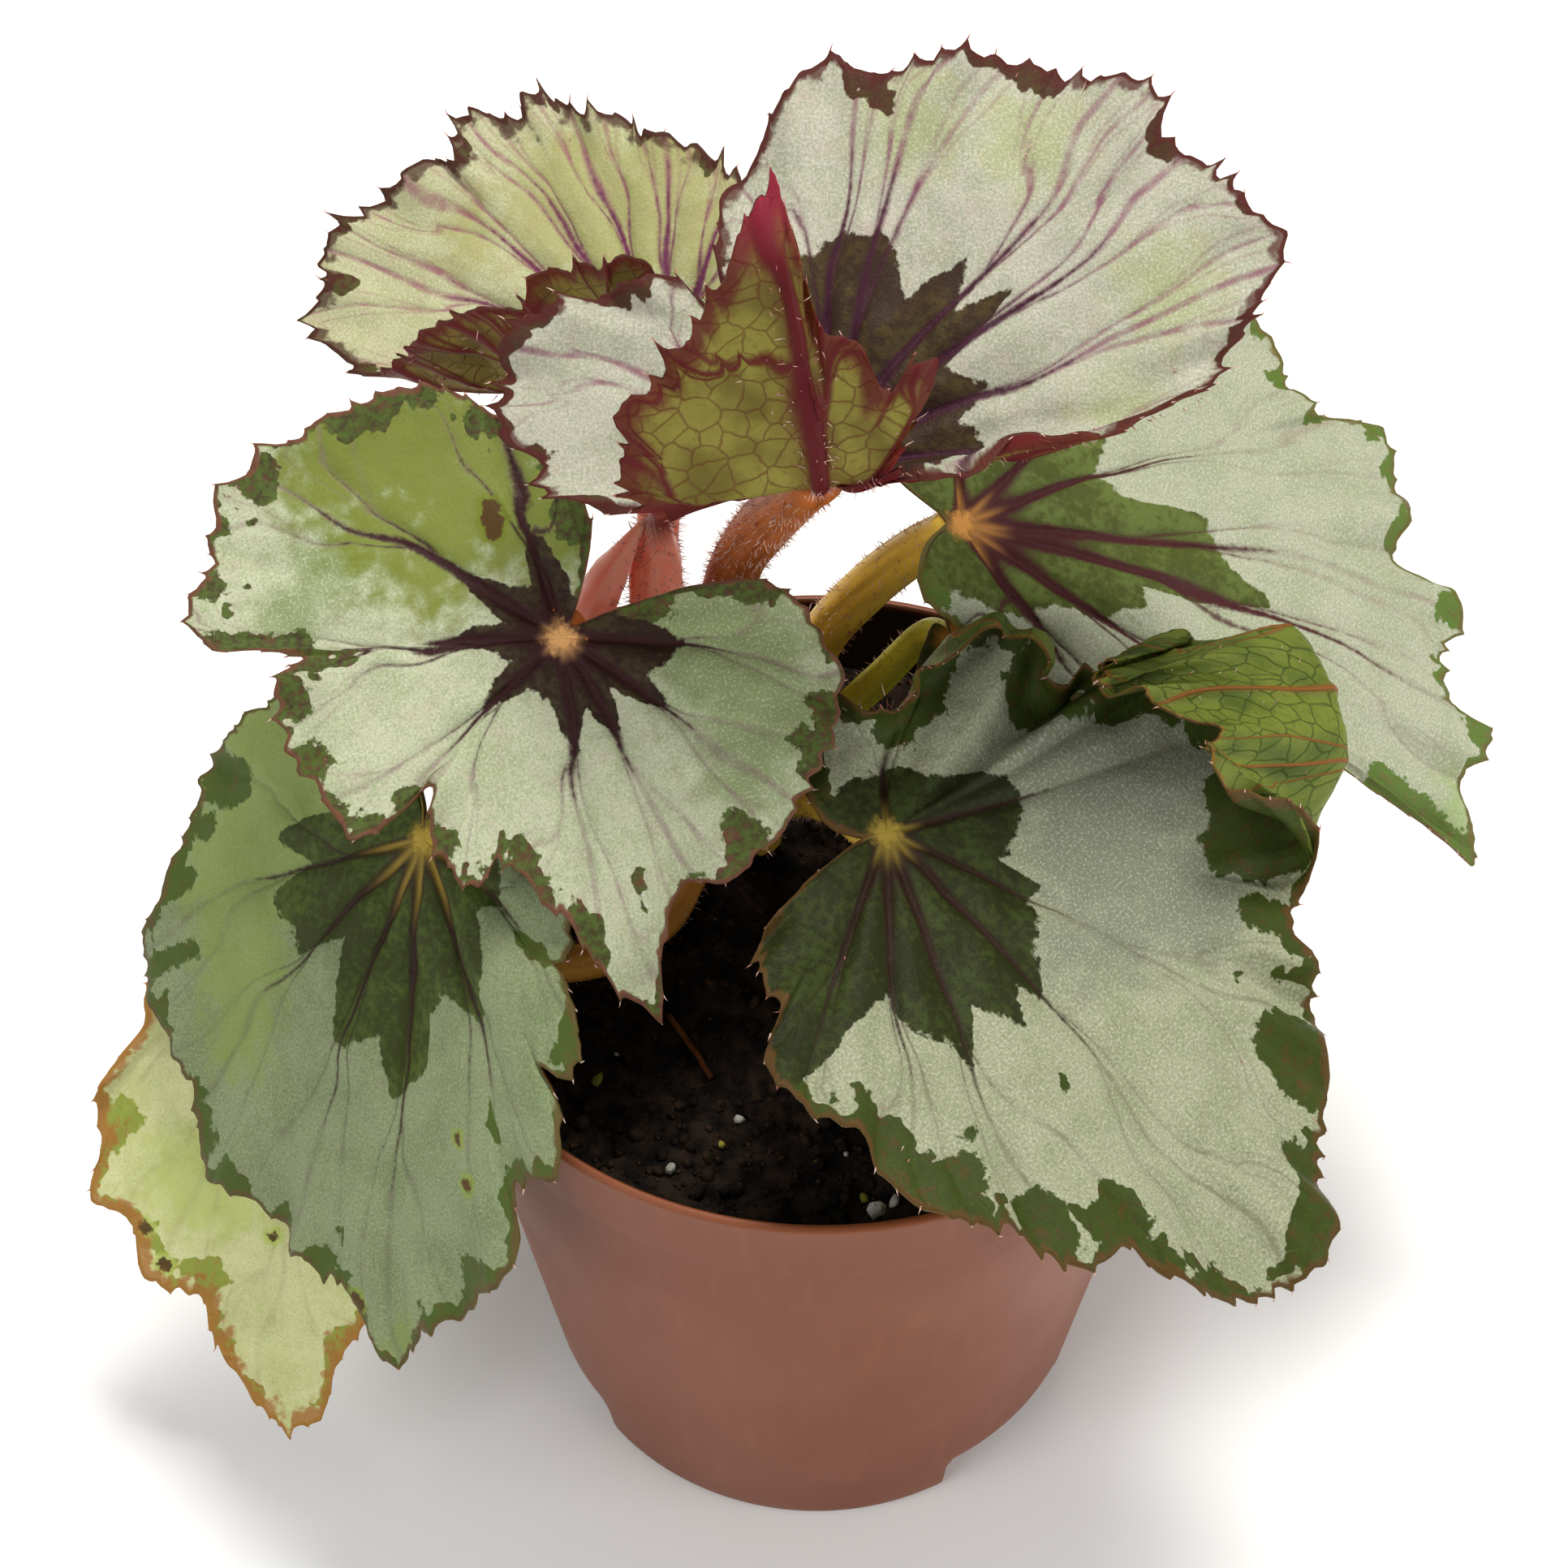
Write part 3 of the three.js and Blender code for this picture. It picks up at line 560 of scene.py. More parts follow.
        # Yellow hub that runs a little way out along the veins.
        arms = ink.add("Math", operation="MULTIPLY", sockets={
            0: ink.add("MapRange", at["away"], self.hub_arms, self.hub_arms * 0.35, **STEP),
            1: ink.add("MapRange", at["off_vein"], 0.7, 0.1, 0.0, 0.6, **STEP)})
        glow = ink.add("MapRange", ink.roughened(at["away"], small, 1.4), self.hub_reach,
                       self.hub_reach * 0.3, **STEP)
        glow = ink.add("Math", glow, arms, operation="MAXIMUM")
        glow = ink.add("Math", glow, 0.9, operation="MULTIPLY")

        # Old brown specks with a yellow halo come next, and last a thin edge line.
        edge = ink.roughened(ink.roughened(at["rim"], small, 0.5), middling,
                             self.edge_width * 2.2)
        colour = ink.painted(
            colour, (self.vein_far, shown), (green_skin, green), (skin, inside),
            (self.vein, dark_vein), (self.hub, glow),
            (self.lime, ink.roughened(at["speck"], small, 0.8), 1.0, 0.2, 0.0, 0.8),
            (self.speck, ink.roughened(at["speck"], small, 0.9), 0.15, -0.25, 0.0, 0.95),
            (self.edge, edge, self.edge_width * 1.6, self.edge_width * 0.5, 0.0, 0.85))

        # Grains stand up and threads are sunk. Grains shine more than plain green skin.
        height = ink.add("Math", grain, 0.6, small, operation="MULTIPLY_ADD")
        height = ink.add("Math", threads, -0.7, height, operation="MULTIPLY_ADD")
        plain = ink.add("Math", green, inside, operation="MAXIMUM")
        gloss = ink.add("MapRange", grain, 0.35, 0.7, 0.56, 0.36, **STEP)
        return ink.finish(
            Base_Color=colour, IOR=1.42, Specular_IOR_Level=0.16, Subsurface_Weight=0.1,
            Subsurface_Scale=0.0015, Subsurface_Radius=(1.0, 1.0, 0.3),
            Roughness=ink.add("Math", plain, 0.06, gloss, operation="MULTIPLY_ADD"),
            Normal=ink.add("Bump", sockets={
                "Strength": 0.55, "Distance": 0.25 * MM, "Height": height}))

    def lower(self) -> bpy.types.Material:
        """The underside: olive skin, raised red veins and a fine net between them."""
        ink = Ink(f"{self.name} under skin")
        flat = ink.add("UVMap", uv_map="blade")
        small = ink.add("TexNoise", flat, **FLAT, sockets={
            "Scale": BLADE_UNIT / 1.0, "Detail": 4.0, "Roughness": 0.6})
        broad = ink.add("TexNoise", flat, **FLAT, sockets={
            "Scale": BLADE_UNIT / 8.0, "Detail": 3.0})
        push = ink.add("TexNoise", flat, **FLAT, out=1, sockets={"Scale": BLADE_UNIT / 3.0})
        bent = ink.add("VectorMath", push, (0.012, 0.012, 0.0), flat,
                       operation="MULTIPLY_ADD")
        cells = ink.add("TexVoronoi", bent, voronoi_dimensions="2D", out="Distance",
                        feature="DISTANCE_TO_EDGE",
                        sockets={"Scale": BLADE_UNIT / self.net_size})
        at = self.fields(ink, ("vein", "fork", "twig", "rim", "tip"))
        wide = self.under_line
        net = ink.add("MapRange", cells, 0.07, 0.0, 0.0, self.net_share, **STEP)
        veins = 0.0
        for name, far, near, most in (("off_vein", 1.1 * wide, 0.35 * wide, 1.0),
                                      ("off_fork", 0.8 * wide, 0.15, 0.95),
                                      ("off_twig", 0.55 * wide, 0.05, 0.85)):
            line = ink.add("MapRange", at[name], far, near, 0.0, most, **STEP)
            veins = ink.add("Math", veins, line, operation="MAXIMUM")
        border = ink.add("Math", small, 2.5, at["rim"], operation="MULTIPLY_ADD")
        blush = ink.add("Math", operation="MAXIMUM", sockets={
            0: ink.add("MapRange", at["off_vein"], 2.6 * wide, 0.0, 0.0, 0.5, **STEP),
            1: ink.add("MapRange", border, 4.2 * wide, 1.8 * wide, 0.0, 0.9, **STEP)})
        colour = ink.painted(
            self.under_dark, (self.under, broad, 0.3, 0.6),
            (self.under_dark, small, 0.5, 0.8, 0.0, 0.75), (self.net, net),
            (self.under_vein, blush), (self.under_vein, veins),
            (self.tip, at["tip"], 2.0, -9.0, 0.0, 0.85))
        raised = ink.add("Math", veins, net, operation="MAXIMUM")
        height = ink.add("Math", small, 0.4, raised, operation="MULTIPLY_ADD")
        return ink.finish(
            Base_Color=colour, Roughness=0.5, IOR=1.42, Specular_IOR_Level=0.15,
            Subsurface_Weight=0.15, Subsurface_Scale=0.0015,
            Subsurface_Radius=(1.0, 1.0, 0.3),
            Normal=ink.add("Bump", sockets={
                "Strength": 0.6, "Distance": 0.35 * MM, "Height": height}))


@dataclass(frozen=True)
class HairFinish:
    """Begonia hairs: soft translucent spines, pink where they are thick."""

    name: str = "plant hair"
    colour: str = "#d9b3a6"
    dark: str = "#a8655c"

    def ink(self) -> bpy.types.Material:
        """The one hair material, made once and shared, in patches of 4 mm."""
        known = bpy.data.materials.get(self.name)
        if known:
            return known
        ink = Ink(self.name)
        place = ink.add("TexCoord", out="Object")
        tone = ink.add("TexNoise", place, sockets={"Scale": 250.0, "Detail": 2.0})
        return ink.finish(
            Base_Color=ink.painted(self.dark, (self.colour, tone, 0.4, 0.6)), IOR=1.5,
            Roughness=0.5, Subsurface_Weight=0.2, Subsurface_Scale=0.001)


# ------------------------------------------------------------------------------ leaves

@dataclass(frozen=True)
class Fold:
    """A straight fold: past its line the blade turns up about an axle."""

    toward: float
    start: float
    radius: float
    degrees: float
    sector: tuple[float, float, float] | None = None

    def apply(self, points: Array, angle: Array) -> Array:
        """Turns what lies past the line.

        Along the fold's direction e, past is P.e minus start. The turned part keeps its
        distance inside the axle: it goes (radius - z) sin(bent) + rest cos(bent) on, and
        lies at radius - (radius - z) cos(bent) + rest sin(bent).

        Args:
            points: local points, out of the blade along the third axis.
            angle: each point's angle round the hub, in degrees.

        Returns:
            The folded points.
        """
        way = math.radians(self.toward)
        e = np.array([math.cos(way), math.sin(way), 0.0])
        past = points @ e - self.start
        turn = np.full(past.shape, math.radians(self.degrees))
        if self.sector:
            first, last, soft = self.sector
            turn = turn * smooth(signed(angle - first) / soft + 0.5)
            turn = turn * smooth(signed(last - angle) / soft + 0.5)
        live = (past > 0) & (turn > 1e-5)
        bent = np.minimum(past, self.radius * turn) / self.radius
        rest = np.maximum(past - self.radius * turn, 0.0)
        inside = self.radius - points[..., 2]
        moved = points + (inside * np.sin(bent) + rest * np.cos(bent) - past)[..., None] * e
        moved[..., 2] = self.radius - inside * np.cos(bent) + rest * np.sin(bent)
        return np.where(live[..., None], moved, points)


@dataclass
class LeafShape:
    """The middle surface of a leaf, the same formula as in the CAD source.

    turn is the tip's heading, its dip and the roll, in degrees. edge is the outline:
    angle from the midrib, distance from the hub, and 1 at a corner. ribs are the main
    veins' angles. lift raises or drops the blade, in mm at 50 mm out. curl is angle,
    distance where the roll starts and degrees of roll.
    """

    hub: tuple[float, float, float]
    turn: tuple[float, float, float]
    edge: Points
    ribs: tuple[float, ...]
    lift: Points
    grow: float = 1.0
    curl: Points = ()
    curl_radius: float = 3.0
    folds: tuple[Fold, ...] = ()
    rib_depth: float = 0.8
    rib_width: float = 6.0

    def __post_init__(self) -> None:
        """Prepares the curves and the leaf's own axes."""
        self.outline = RoundCurve(self.edge)
        self.lifted = RoundCurve(self.lift)
        if self.curl:
            self.curl_start = RoundCurve(tuple(c[:2] for c in self.curl))
            self.curl_turn = RoundCurve(tuple((c[0], c[2]) for c in self.curl))
        h, p, r = (math.radians(a) for a in self.turn)
        along = np.array([math.cos(h) * math.cos(p), math.sin(h) * math.cos(p), -math.sin(p)])
        level = np.array([-math.sin(h), math.cos(h), 0.0])
        up = np.cross(along, level)
        self.axes = np.stack([
            along,
            level * math.cos(r) + up * math.sin(r),
            up * math.cos(r) - level * math.sin(r),
        ])

    def reach(self, angle: Array) -> Array:
        """Distance from the hub to the outline at each angle."""
        return self.outline(angle) * self.grow

    def point(self, angle: Array, distance: Array) -> Array:
        """Points of the middle surface, in millimetres.

        Height is the roll's rise, plus lift times the square of distance over 50, less a
        valley along each rib that is deepest half way out.
        """
        flat, rise = distance, 0.0
        if self.curl:
            start = self.curl_start(angle)
            turn = np.radians(np.maximum(self.curl_turn(angle), 1e-4))
            past = distance - start
            bent = np.clip(past, 0.0, self.curl_radius * turn) / self.curl_radius
            rest = np.maximum(past - self.curl_radius * turn, 0.0)
            rolled = start + self.curl_radius * np.sin(bent) + rest * np.cos(bent)
            flat = np.where(past > 0, rolled, distance)
            rise = self.curl_radius * (1 - np.cos(bent)) + rest * np.sin(bent)
        share = np.clip(distance / self.reach(angle), 0.0, 1.0)
        nearest = np.min([np.abs(signed(angle - rib)) for rib in self.ribs], axis=0)
        rib = -self.rib_depth * bead(nearest, self.rib_width)
        height = rise + self.lifted(angle) * (flat / 50.0) ** 2
        height = height + rib * np.sin(math.pi * share)
        a = np.radians(angle)
        local = np.stack([flat * np.cos(a), flat * np.sin(a), height], -1)
        for fold in self.folds:
            local = fold.apply(local, angle)
        return np.array(self.hub) + local @ self.axes

    def normal(self, angle: Array, distance: Array, step: float = 0.4) -> Array:
        """Unit vectors out of the upper face, from differences a step apart."""
        far = np.maximum(distance, step)
        turn = np.degrees(step / far)
        outward = self.point(angle, far + step / 2) - self.point(angle, far - step / 2)
        around = self.point(angle + turn / 2, far) - self.point(angle - turn / 2, far)
        return unit(np.cross(outward, around))

    def hub_normal(self) -> Array:
        """The blade's own direction at the hub: the mean of twelve normals near it."""
        turn = np.arange(0.0, 360.0, 30.0)
        return unit(self.normal(turn, np.full(len(turn), 2.0)).sum(0))


@dataclass
class Leaf:
    """One leaf: its blade with toothed margin, the spines on its teeth and its hairs.

    star is the outline of the dark centre as angle and distance. spikes are how far each
    main vein stays dark. Spots are given as angle, distance and radius in mm: patches
    are green, limes yellow-green, the spots of painted shade grey-green where the blade
    lies in shade, specks brown, and tips crimson on the underside. puckers are the bumps
    of the blade: height, size, and the distance from the hub at which they are full.
    """

    name: str
    shape: LeafShape
    finish: LeafFinish
    slot: Slot
    star: Points
    spikes: tuple[float, ...]
    patches: Points = ()
    limes: Points = ()
    specks: Points = ()
    painted_shade_spots: Points = ()
    tips: Points = ()
    rings: int = 62
    tooth_gap: float = 3.2
    tooth_height: float = 0.55
    tooth_steps: tuple[float, ...] = (0.0, 0.26, 0.5, 0.72, 0.86)
    tooth_rise: tuple[float, ...] = (-0.35, -0.22, 0.12, 1.0, 0.2)
    lobe_height: float = 1.5
    lobes: Points = ((0.65, 4.4), (0.35, 1.9))
    puckers: Points = ((0.8, 13.0, 20.0), (0.36, 5.5, 10.0), (0.17, 2.4, 10.0))
    wave: float = 1.3
    wave_length: float = 5.5
    frill_from: float = 0.72
    spike_width: float = 1.3
    soft_spot: float = 13.0
    fork_start: tuple[float, float] = (0.22, 0.55)
    fork_spread: tuple[float, float] = (0.26, 0.42)
    twig_start: tuple[float, float] = (0.6, 0.78)
    thickness: float = 0.34
    hairs: int = 0
    seed: int = 1

    def layout(self) -> tuple[Array, Array, Array]:
        """Places the teeth round the margin.

        The margin is measured as the root of the squares of its step outwards and its
        step round, and divided in teeth of seeded lengths. Each tooth has five columns:
        foot, rise, rise, tip and fall. Slow noise along the margin adds its lobes.

        Returns:
            Column angles in degrees from the notch on, tooth height at each, and each
            column's distance along the margin.
        """
        random = np.random.default_rng(self.seed)
        fine = 0.05
        table = np.arange(0.0, 360.0, fine)
        notch = table[np.argmin(self.shape.reach(table))]
        turn = notch + np.append(table, 360.0)
        reach = self.shape.reach(turn)
        step = np.hypot(np.diff(reach), np.radians(fine) * reach[:-1]) + np.radians(fine) * 2.0
        along = np.append(0.0, np.cumsum(step))
        count = int(along[-1] / self.tooth_gap)
        gaps = random.uniform(0.65, 1.35, count)
        gaps *= along[-1] / gaps.sum()
        feet = np.append(0.0, np.cumsum(gaps)[:-1])
        place = (feet[:, None] + gaps[:, None] * np.array(self.tooth_steps)).ravel()
        tall = random.uniform(0.0, 1.0, count) ** 2 * 2.2 * self.tooth_height
        tall *= smooth((self.shape.reach(np.interp(feet, along, turn)) - 6.0) / 10.0)
        angle = np.interp(place, along, turn)
        lobe = sum(high * value_noise(place, place * 0.0, size, self.seed + 60 + k)
                   for k, (high, size) in enumerate(self.lobes))
        lobe *= self.lobe_height * smooth((self.shape.reach(angle) - 8.0) / 12.0)
        return angle, (tall[:, None] * np.array(self.tooth_rise)).ravel() + lobe, place

    def spokes(self, angle: Array, share: Array) -> tuple[Array, Array]:
        """Counts the main veins round the blade, which sway a few degrees by noise.

        Returns:
            phi, a whole number on each main vein and 0 at the notch, and the degrees
            from one vein to the next.
        """
        notch = angle.min()
        ribs = np.sort(np.mod(np.array(self.shape.ribs) - notch, 360.0)) + notch
        stops = np.concatenate([[notch], ribs, [notch + 360.0]])
        sway = 4.2 * value_noise(angle / 11.0, share * 4.5, 1.0, self.seed + 40)
        bent = angle + (sway + 5.0 * np.sin(np.radians(angle)) * share) * smooth(share * 1.5)
        phi = np.interp(np.clip(bent, notch, notch + 360.0), stops, np.arange(len(stops)))
        return phi, np.diff(stops)[np.clip(phi.astype(int), 0, len(stops) - 2)]

    def fields(self, angle: Array, distance: Array, reach: Array) -> dict[str, Array]:
        """Numbers that the skin's pattern follows, in millimetres where not said.

        vein is sin(pi phi) times the spacing over pi, which crosses zero on each main
        vein. fork is |f| - F, with f from the nearest vein and F growing from a seeded
        start, times the spacing, and twig forks the same way from the fork. spike is the
        half width of the dark vein, which tapers to nothing at its given length.
        """
        share = distance / reach
        phi, wide = self.spokes(angle, share)
        gap = np.maximum(distance, 0.5) * np.radians(wide)
        f = phi - np.round(phi)
        random = np.random.default_rng(self.seed + 7)
        half = np.floor(2 * phi).astype(int) % LATTICE
        start, widest, late = (random.uniform(*span, LATTICE)[half] for span in (
            self.fork_start, self.fork_spread, self.twig_start))
        lane = widest * np.maximum((share - start) / (1 - start), 0.0) ** 0.8
        twig = np.abs(np.abs(f) - lane) - 0.13 * (share - late) / (1 - late)
        star = np.array([(p[0] % 360.0, p[1]) for p in self.star])
        star = star[np.argsort(star[:, 0])]
        centre = np.interp(np.mod(angle, 360.0), star[:, 0], star[:, 1], period=360.0)
        lengths = np.array(self.spikes)[np.argsort(
            np.mod(np.array(self.shape.ribs) - angle.min(), 360.0))]
        lengths = np.concatenate([[4.0], lengths, [4.0]])
        taper = np.clip(1 - distance / np.interp(phi, np.arange(len(lengths)), lengths),
                        0.0, 1.0)
        base = self.shape.reach(angle)
        slope = np.gradient(base, axis=-1) / np.gradient(np.radians(angle), axis=-1) / base
        a = np.radians(angle)
        x, y = distance * np.cos(a), distance * np.sin(a)
        soft = self.soft_spot
        return {
            "vein": np.sin(math.pi * phi) * gap / math.pi,
            "fork": np.where(share > start, (np.abs(f) - lane) * gap, 5.0),
            "twig": np.where(share > start, twig * gap, 9.0),
            "spike": (self.spike_width * taper ** 0.6 * (0.55 + 0.45 * taper)
                      - 0.3 * (taper <= 0)),
            "rim": base * (1 - share) / np.sqrt(1 + np.clip(slope, -2.5, 2.5) ** 2),
            "star": (distance - centre) * 0.8,
            "away": distance,
            "patch": self.spots(x, y, self.to_margin(self.patches), 30.0),
            "lime": np.clip(-self.spots(x, y, self.limes, soft) / soft, -1.0, 1.0) + 0.5,
            # Painted shade zones: where the blade lies in shade.
            "painted_shade": np.clip(-self.spots(x, y, self.painted_shade_spots, soft) / soft, -1.0, 1.0) + 0.5,
            "speck": self.spots(x, y, self.specks, 9.0),
            "tip": self.spots(x, y, self.tips, 9.0),
        }

    def to_margin(self, spots: Points) -> Points:
        """Spots over 1.2 mm are stretched out until they meet the margin."""
        return tuple((a, d, r, max(d, float(self.shape.reach(np.array([a]))[0]) - 0.4 * r))
                     if r > 1.2 else (a, d, r) for a, d, r in spots)

    def spots(self, x: Array, y: Array, spots: Points, none: float) -> Array:
        """Distance outside the nearest of some discs, negative inside, capped at none.

        A fourth number stretches the disc outwards, to that distance from the hub.
        """
        far = np.full(x.shape, none)
        for angle, distance, radius, *outer in spots:
            c, s = math.cos(math.radians(angle)), math.sin(math.radians(angle))
            along = np.clip(x * c + y * s, distance, outer[0] if outer else distance)
            far = np.minimum(far, np.hypot(x - along * c, y - along * s) - radius)
        return far

    def build_blade(self) -> tuple[bpy.types.Object, Array]:
        """Builds and dresses the blade.

        A point is the middle surface at (angle, share of the reach), moved along its
        normal by half the thickness and by puckers, vein grooves, a rising wave at the
        margin and, underneath, a ridge along each vein.

        Returns:
            The piece, and the points along its margin, one for each column.
        """
        turn, teeth, along = self.layout()
        columns = len(turn)
        share = np.linspace(0.0, 1.0, self.rings + 1)[1:, None]
        angle = np.broadcast_to(turn, (self.rings, columns))
        base = np.broadcast_to(self.shape.reach(turn), angle.shape)
        distance = base * share + teeth * smooth((share - 0.9) / 0.1)
        values = self.fields(angle, distance, base + teeth)
        middle = self.shape.point(angle, distance)
        normal = self.shape.normal(angle, distance)
        a = np.radians(angle)
        x, y = distance * np.cos(a), distance * np.sin(a)
        pucker = sum(high * value_noise(x, y, size, self.seed + 2 + k) * smooth(distance / full)
                     for k, (high, size, full) in enumerate(self.puckers))
        calm = smooth(distance / 10.0)
        fade = smooth(distance / 5.0) * (1 - 0.6 * share)
        groove = 0.38 * bead(values["vein"], 1.0) * fade
        groove += 0.24 * bead(values["fork"], 0.7) * calm
        frill = self.wave * value_noise(along, along * 0.0, self.wave_length, self.seed + 5)
        frill = frill * smooth((share - self.frill_from) / (1.0 - self.frill_from))
        lump = (pucker - groove + frill * smooth(base / 15.0))[..., None]
        half = self.thickness * (1.0 - 0.45 * share ** 3)[..., None]
        ridge = 0.5 * bead(values["vein"], 0.7) * fade
        ridge += 0.25 * bead(values["fork"], 0.5) * calm * (1 - 0.5 * share)
        upper = middle + normal * (lump + half)
        lower = middle + normal * (lump - half - ridge[..., None])
        hub, out = np.array(self.shape.hub), self.shape.hub_normal()
        size = 1 + self.rings * columns
        points = np.concatenate([
            [hub + out * 0.4], upper.reshape(-1, 3), [hub - out * 0.4], lower.reshape(-1, 3)])
        face, cap = grid_faces(self.rings, columns, 1), fan(0, 1, columns)
        i = size - columns + np.arange(columns)
        k = np.roll(i, -1)
        rim = np.stack([i, i + size, k + size, k], -1)
        quads = np.concatenate([face, face[:, ::-1] + size, rim])
        tris = np.concatenate([cap, cap[:, ::-1] + size])
        below = np.repeat([0, 1, 0, 0, 1], [len(face), len(face), columns, columns, columns])
        piece = put_mesh(f"{self.name}_blade", points, quads, tris,
                         (self.finish.upper(), self.finish.lower()), self.slot, self.name,
                         below)
        at_hub = {"vein": 0.0, "fork": 5.0, "twig": 9.0, "rim": 30.0, "away": 0.0,
                  "spike": self.spike_width, "star": -8.0}
        for name, grid in values.items():
            centre = at_hub.get(name, grid[0].mean())
            add_field(piece, name, np.tile(np.append(centre, grid.ravel()), 2))
        flat = np.concatenate([[[0.0, 0.0]], np.stack([x, y], -1).reshape(-1, 2)])
        add_uv(piece, "blade", np.tile(flat, (2, 1)))
        return piece, middle[-1] + normal[-1] * lump[-1]

    def build_spines(self, margin: Array) -> bpy.types.Object:
        """Soft pale spines on the tips of the taller teeth, leaning outwards."""
        turn, teeth, _ = self.layout()
        random = np.random.default_rng(self.seed + 11)
        top = int(np.argmax(self.tooth_rise))
        tips = np.arange(top, len(teeth), len(self.tooth_steps))
        tips = tips[teeth[tips] - teeth[tips - top] > 0.4 * self.tooth_height]
        inner = self.shape.point(turn[tips], self.shape.reach(turn[tips]) - 1.5)
        way = unit(margin[tips] - inner)
        way = unit(way + random.normal(0.0, 0.35, way.shape))
        size = random.uniform(0.5, 1.5, len(tips)) * (0.5 + 0.5 * self.tooth_height)
        hairs = hair_mesh(margin[tips] - way * 0.25, way, size, 0.13, 0.2, self.seed)
        return put_mesh(f"{self.name}_spines", *hairs, (HairFinish().ink(),), self.slot)

    def build_hairs(self) -> bpy.types.Object:
        """Hairs along the underside of the veins, leaning towards the margin."""
        random = np.random.default_rng(self.seed + 13)
        ribs = np.array(self.shape.ribs)
        angle = ribs[random.integers(0, len(ribs), self.hairs)]
        angle = angle + random.normal(0.0, 7.0, self.hairs)
        distance = self.shape.reach(angle) * random.uniform(0.06, 0.98, self.hairs)
        root = self.shape.point(angle, distance)
        normal = self.shape.normal(angle, distance)
        outward = unit(self.shape.point(angle, distance + 0.5) - root)
        way = unit(outward * 0.6 - normal + random.normal(0.0, 0.3, root.shape))
        size = random.uniform(0.7, 2.0, self.hairs)
        hairs = hair_mesh(root - normal * 0.5, way, size, 0.09, 0.25, self.seed + 2)
        return put_mesh(f"{self.name}_hairs", *hairs, (HairFinish().ink(),), self.slot)

    def build(self) -> list[bpy.types.Object]:
        """The blade, its spines and, where it has them, the hairs of its underside."""
        blade, margin = self.build_blade()
        pieces = [blade, self.build_spines(margin)]
        if self.hairs:
            pieces.append(self.build_hairs())
        return pieces


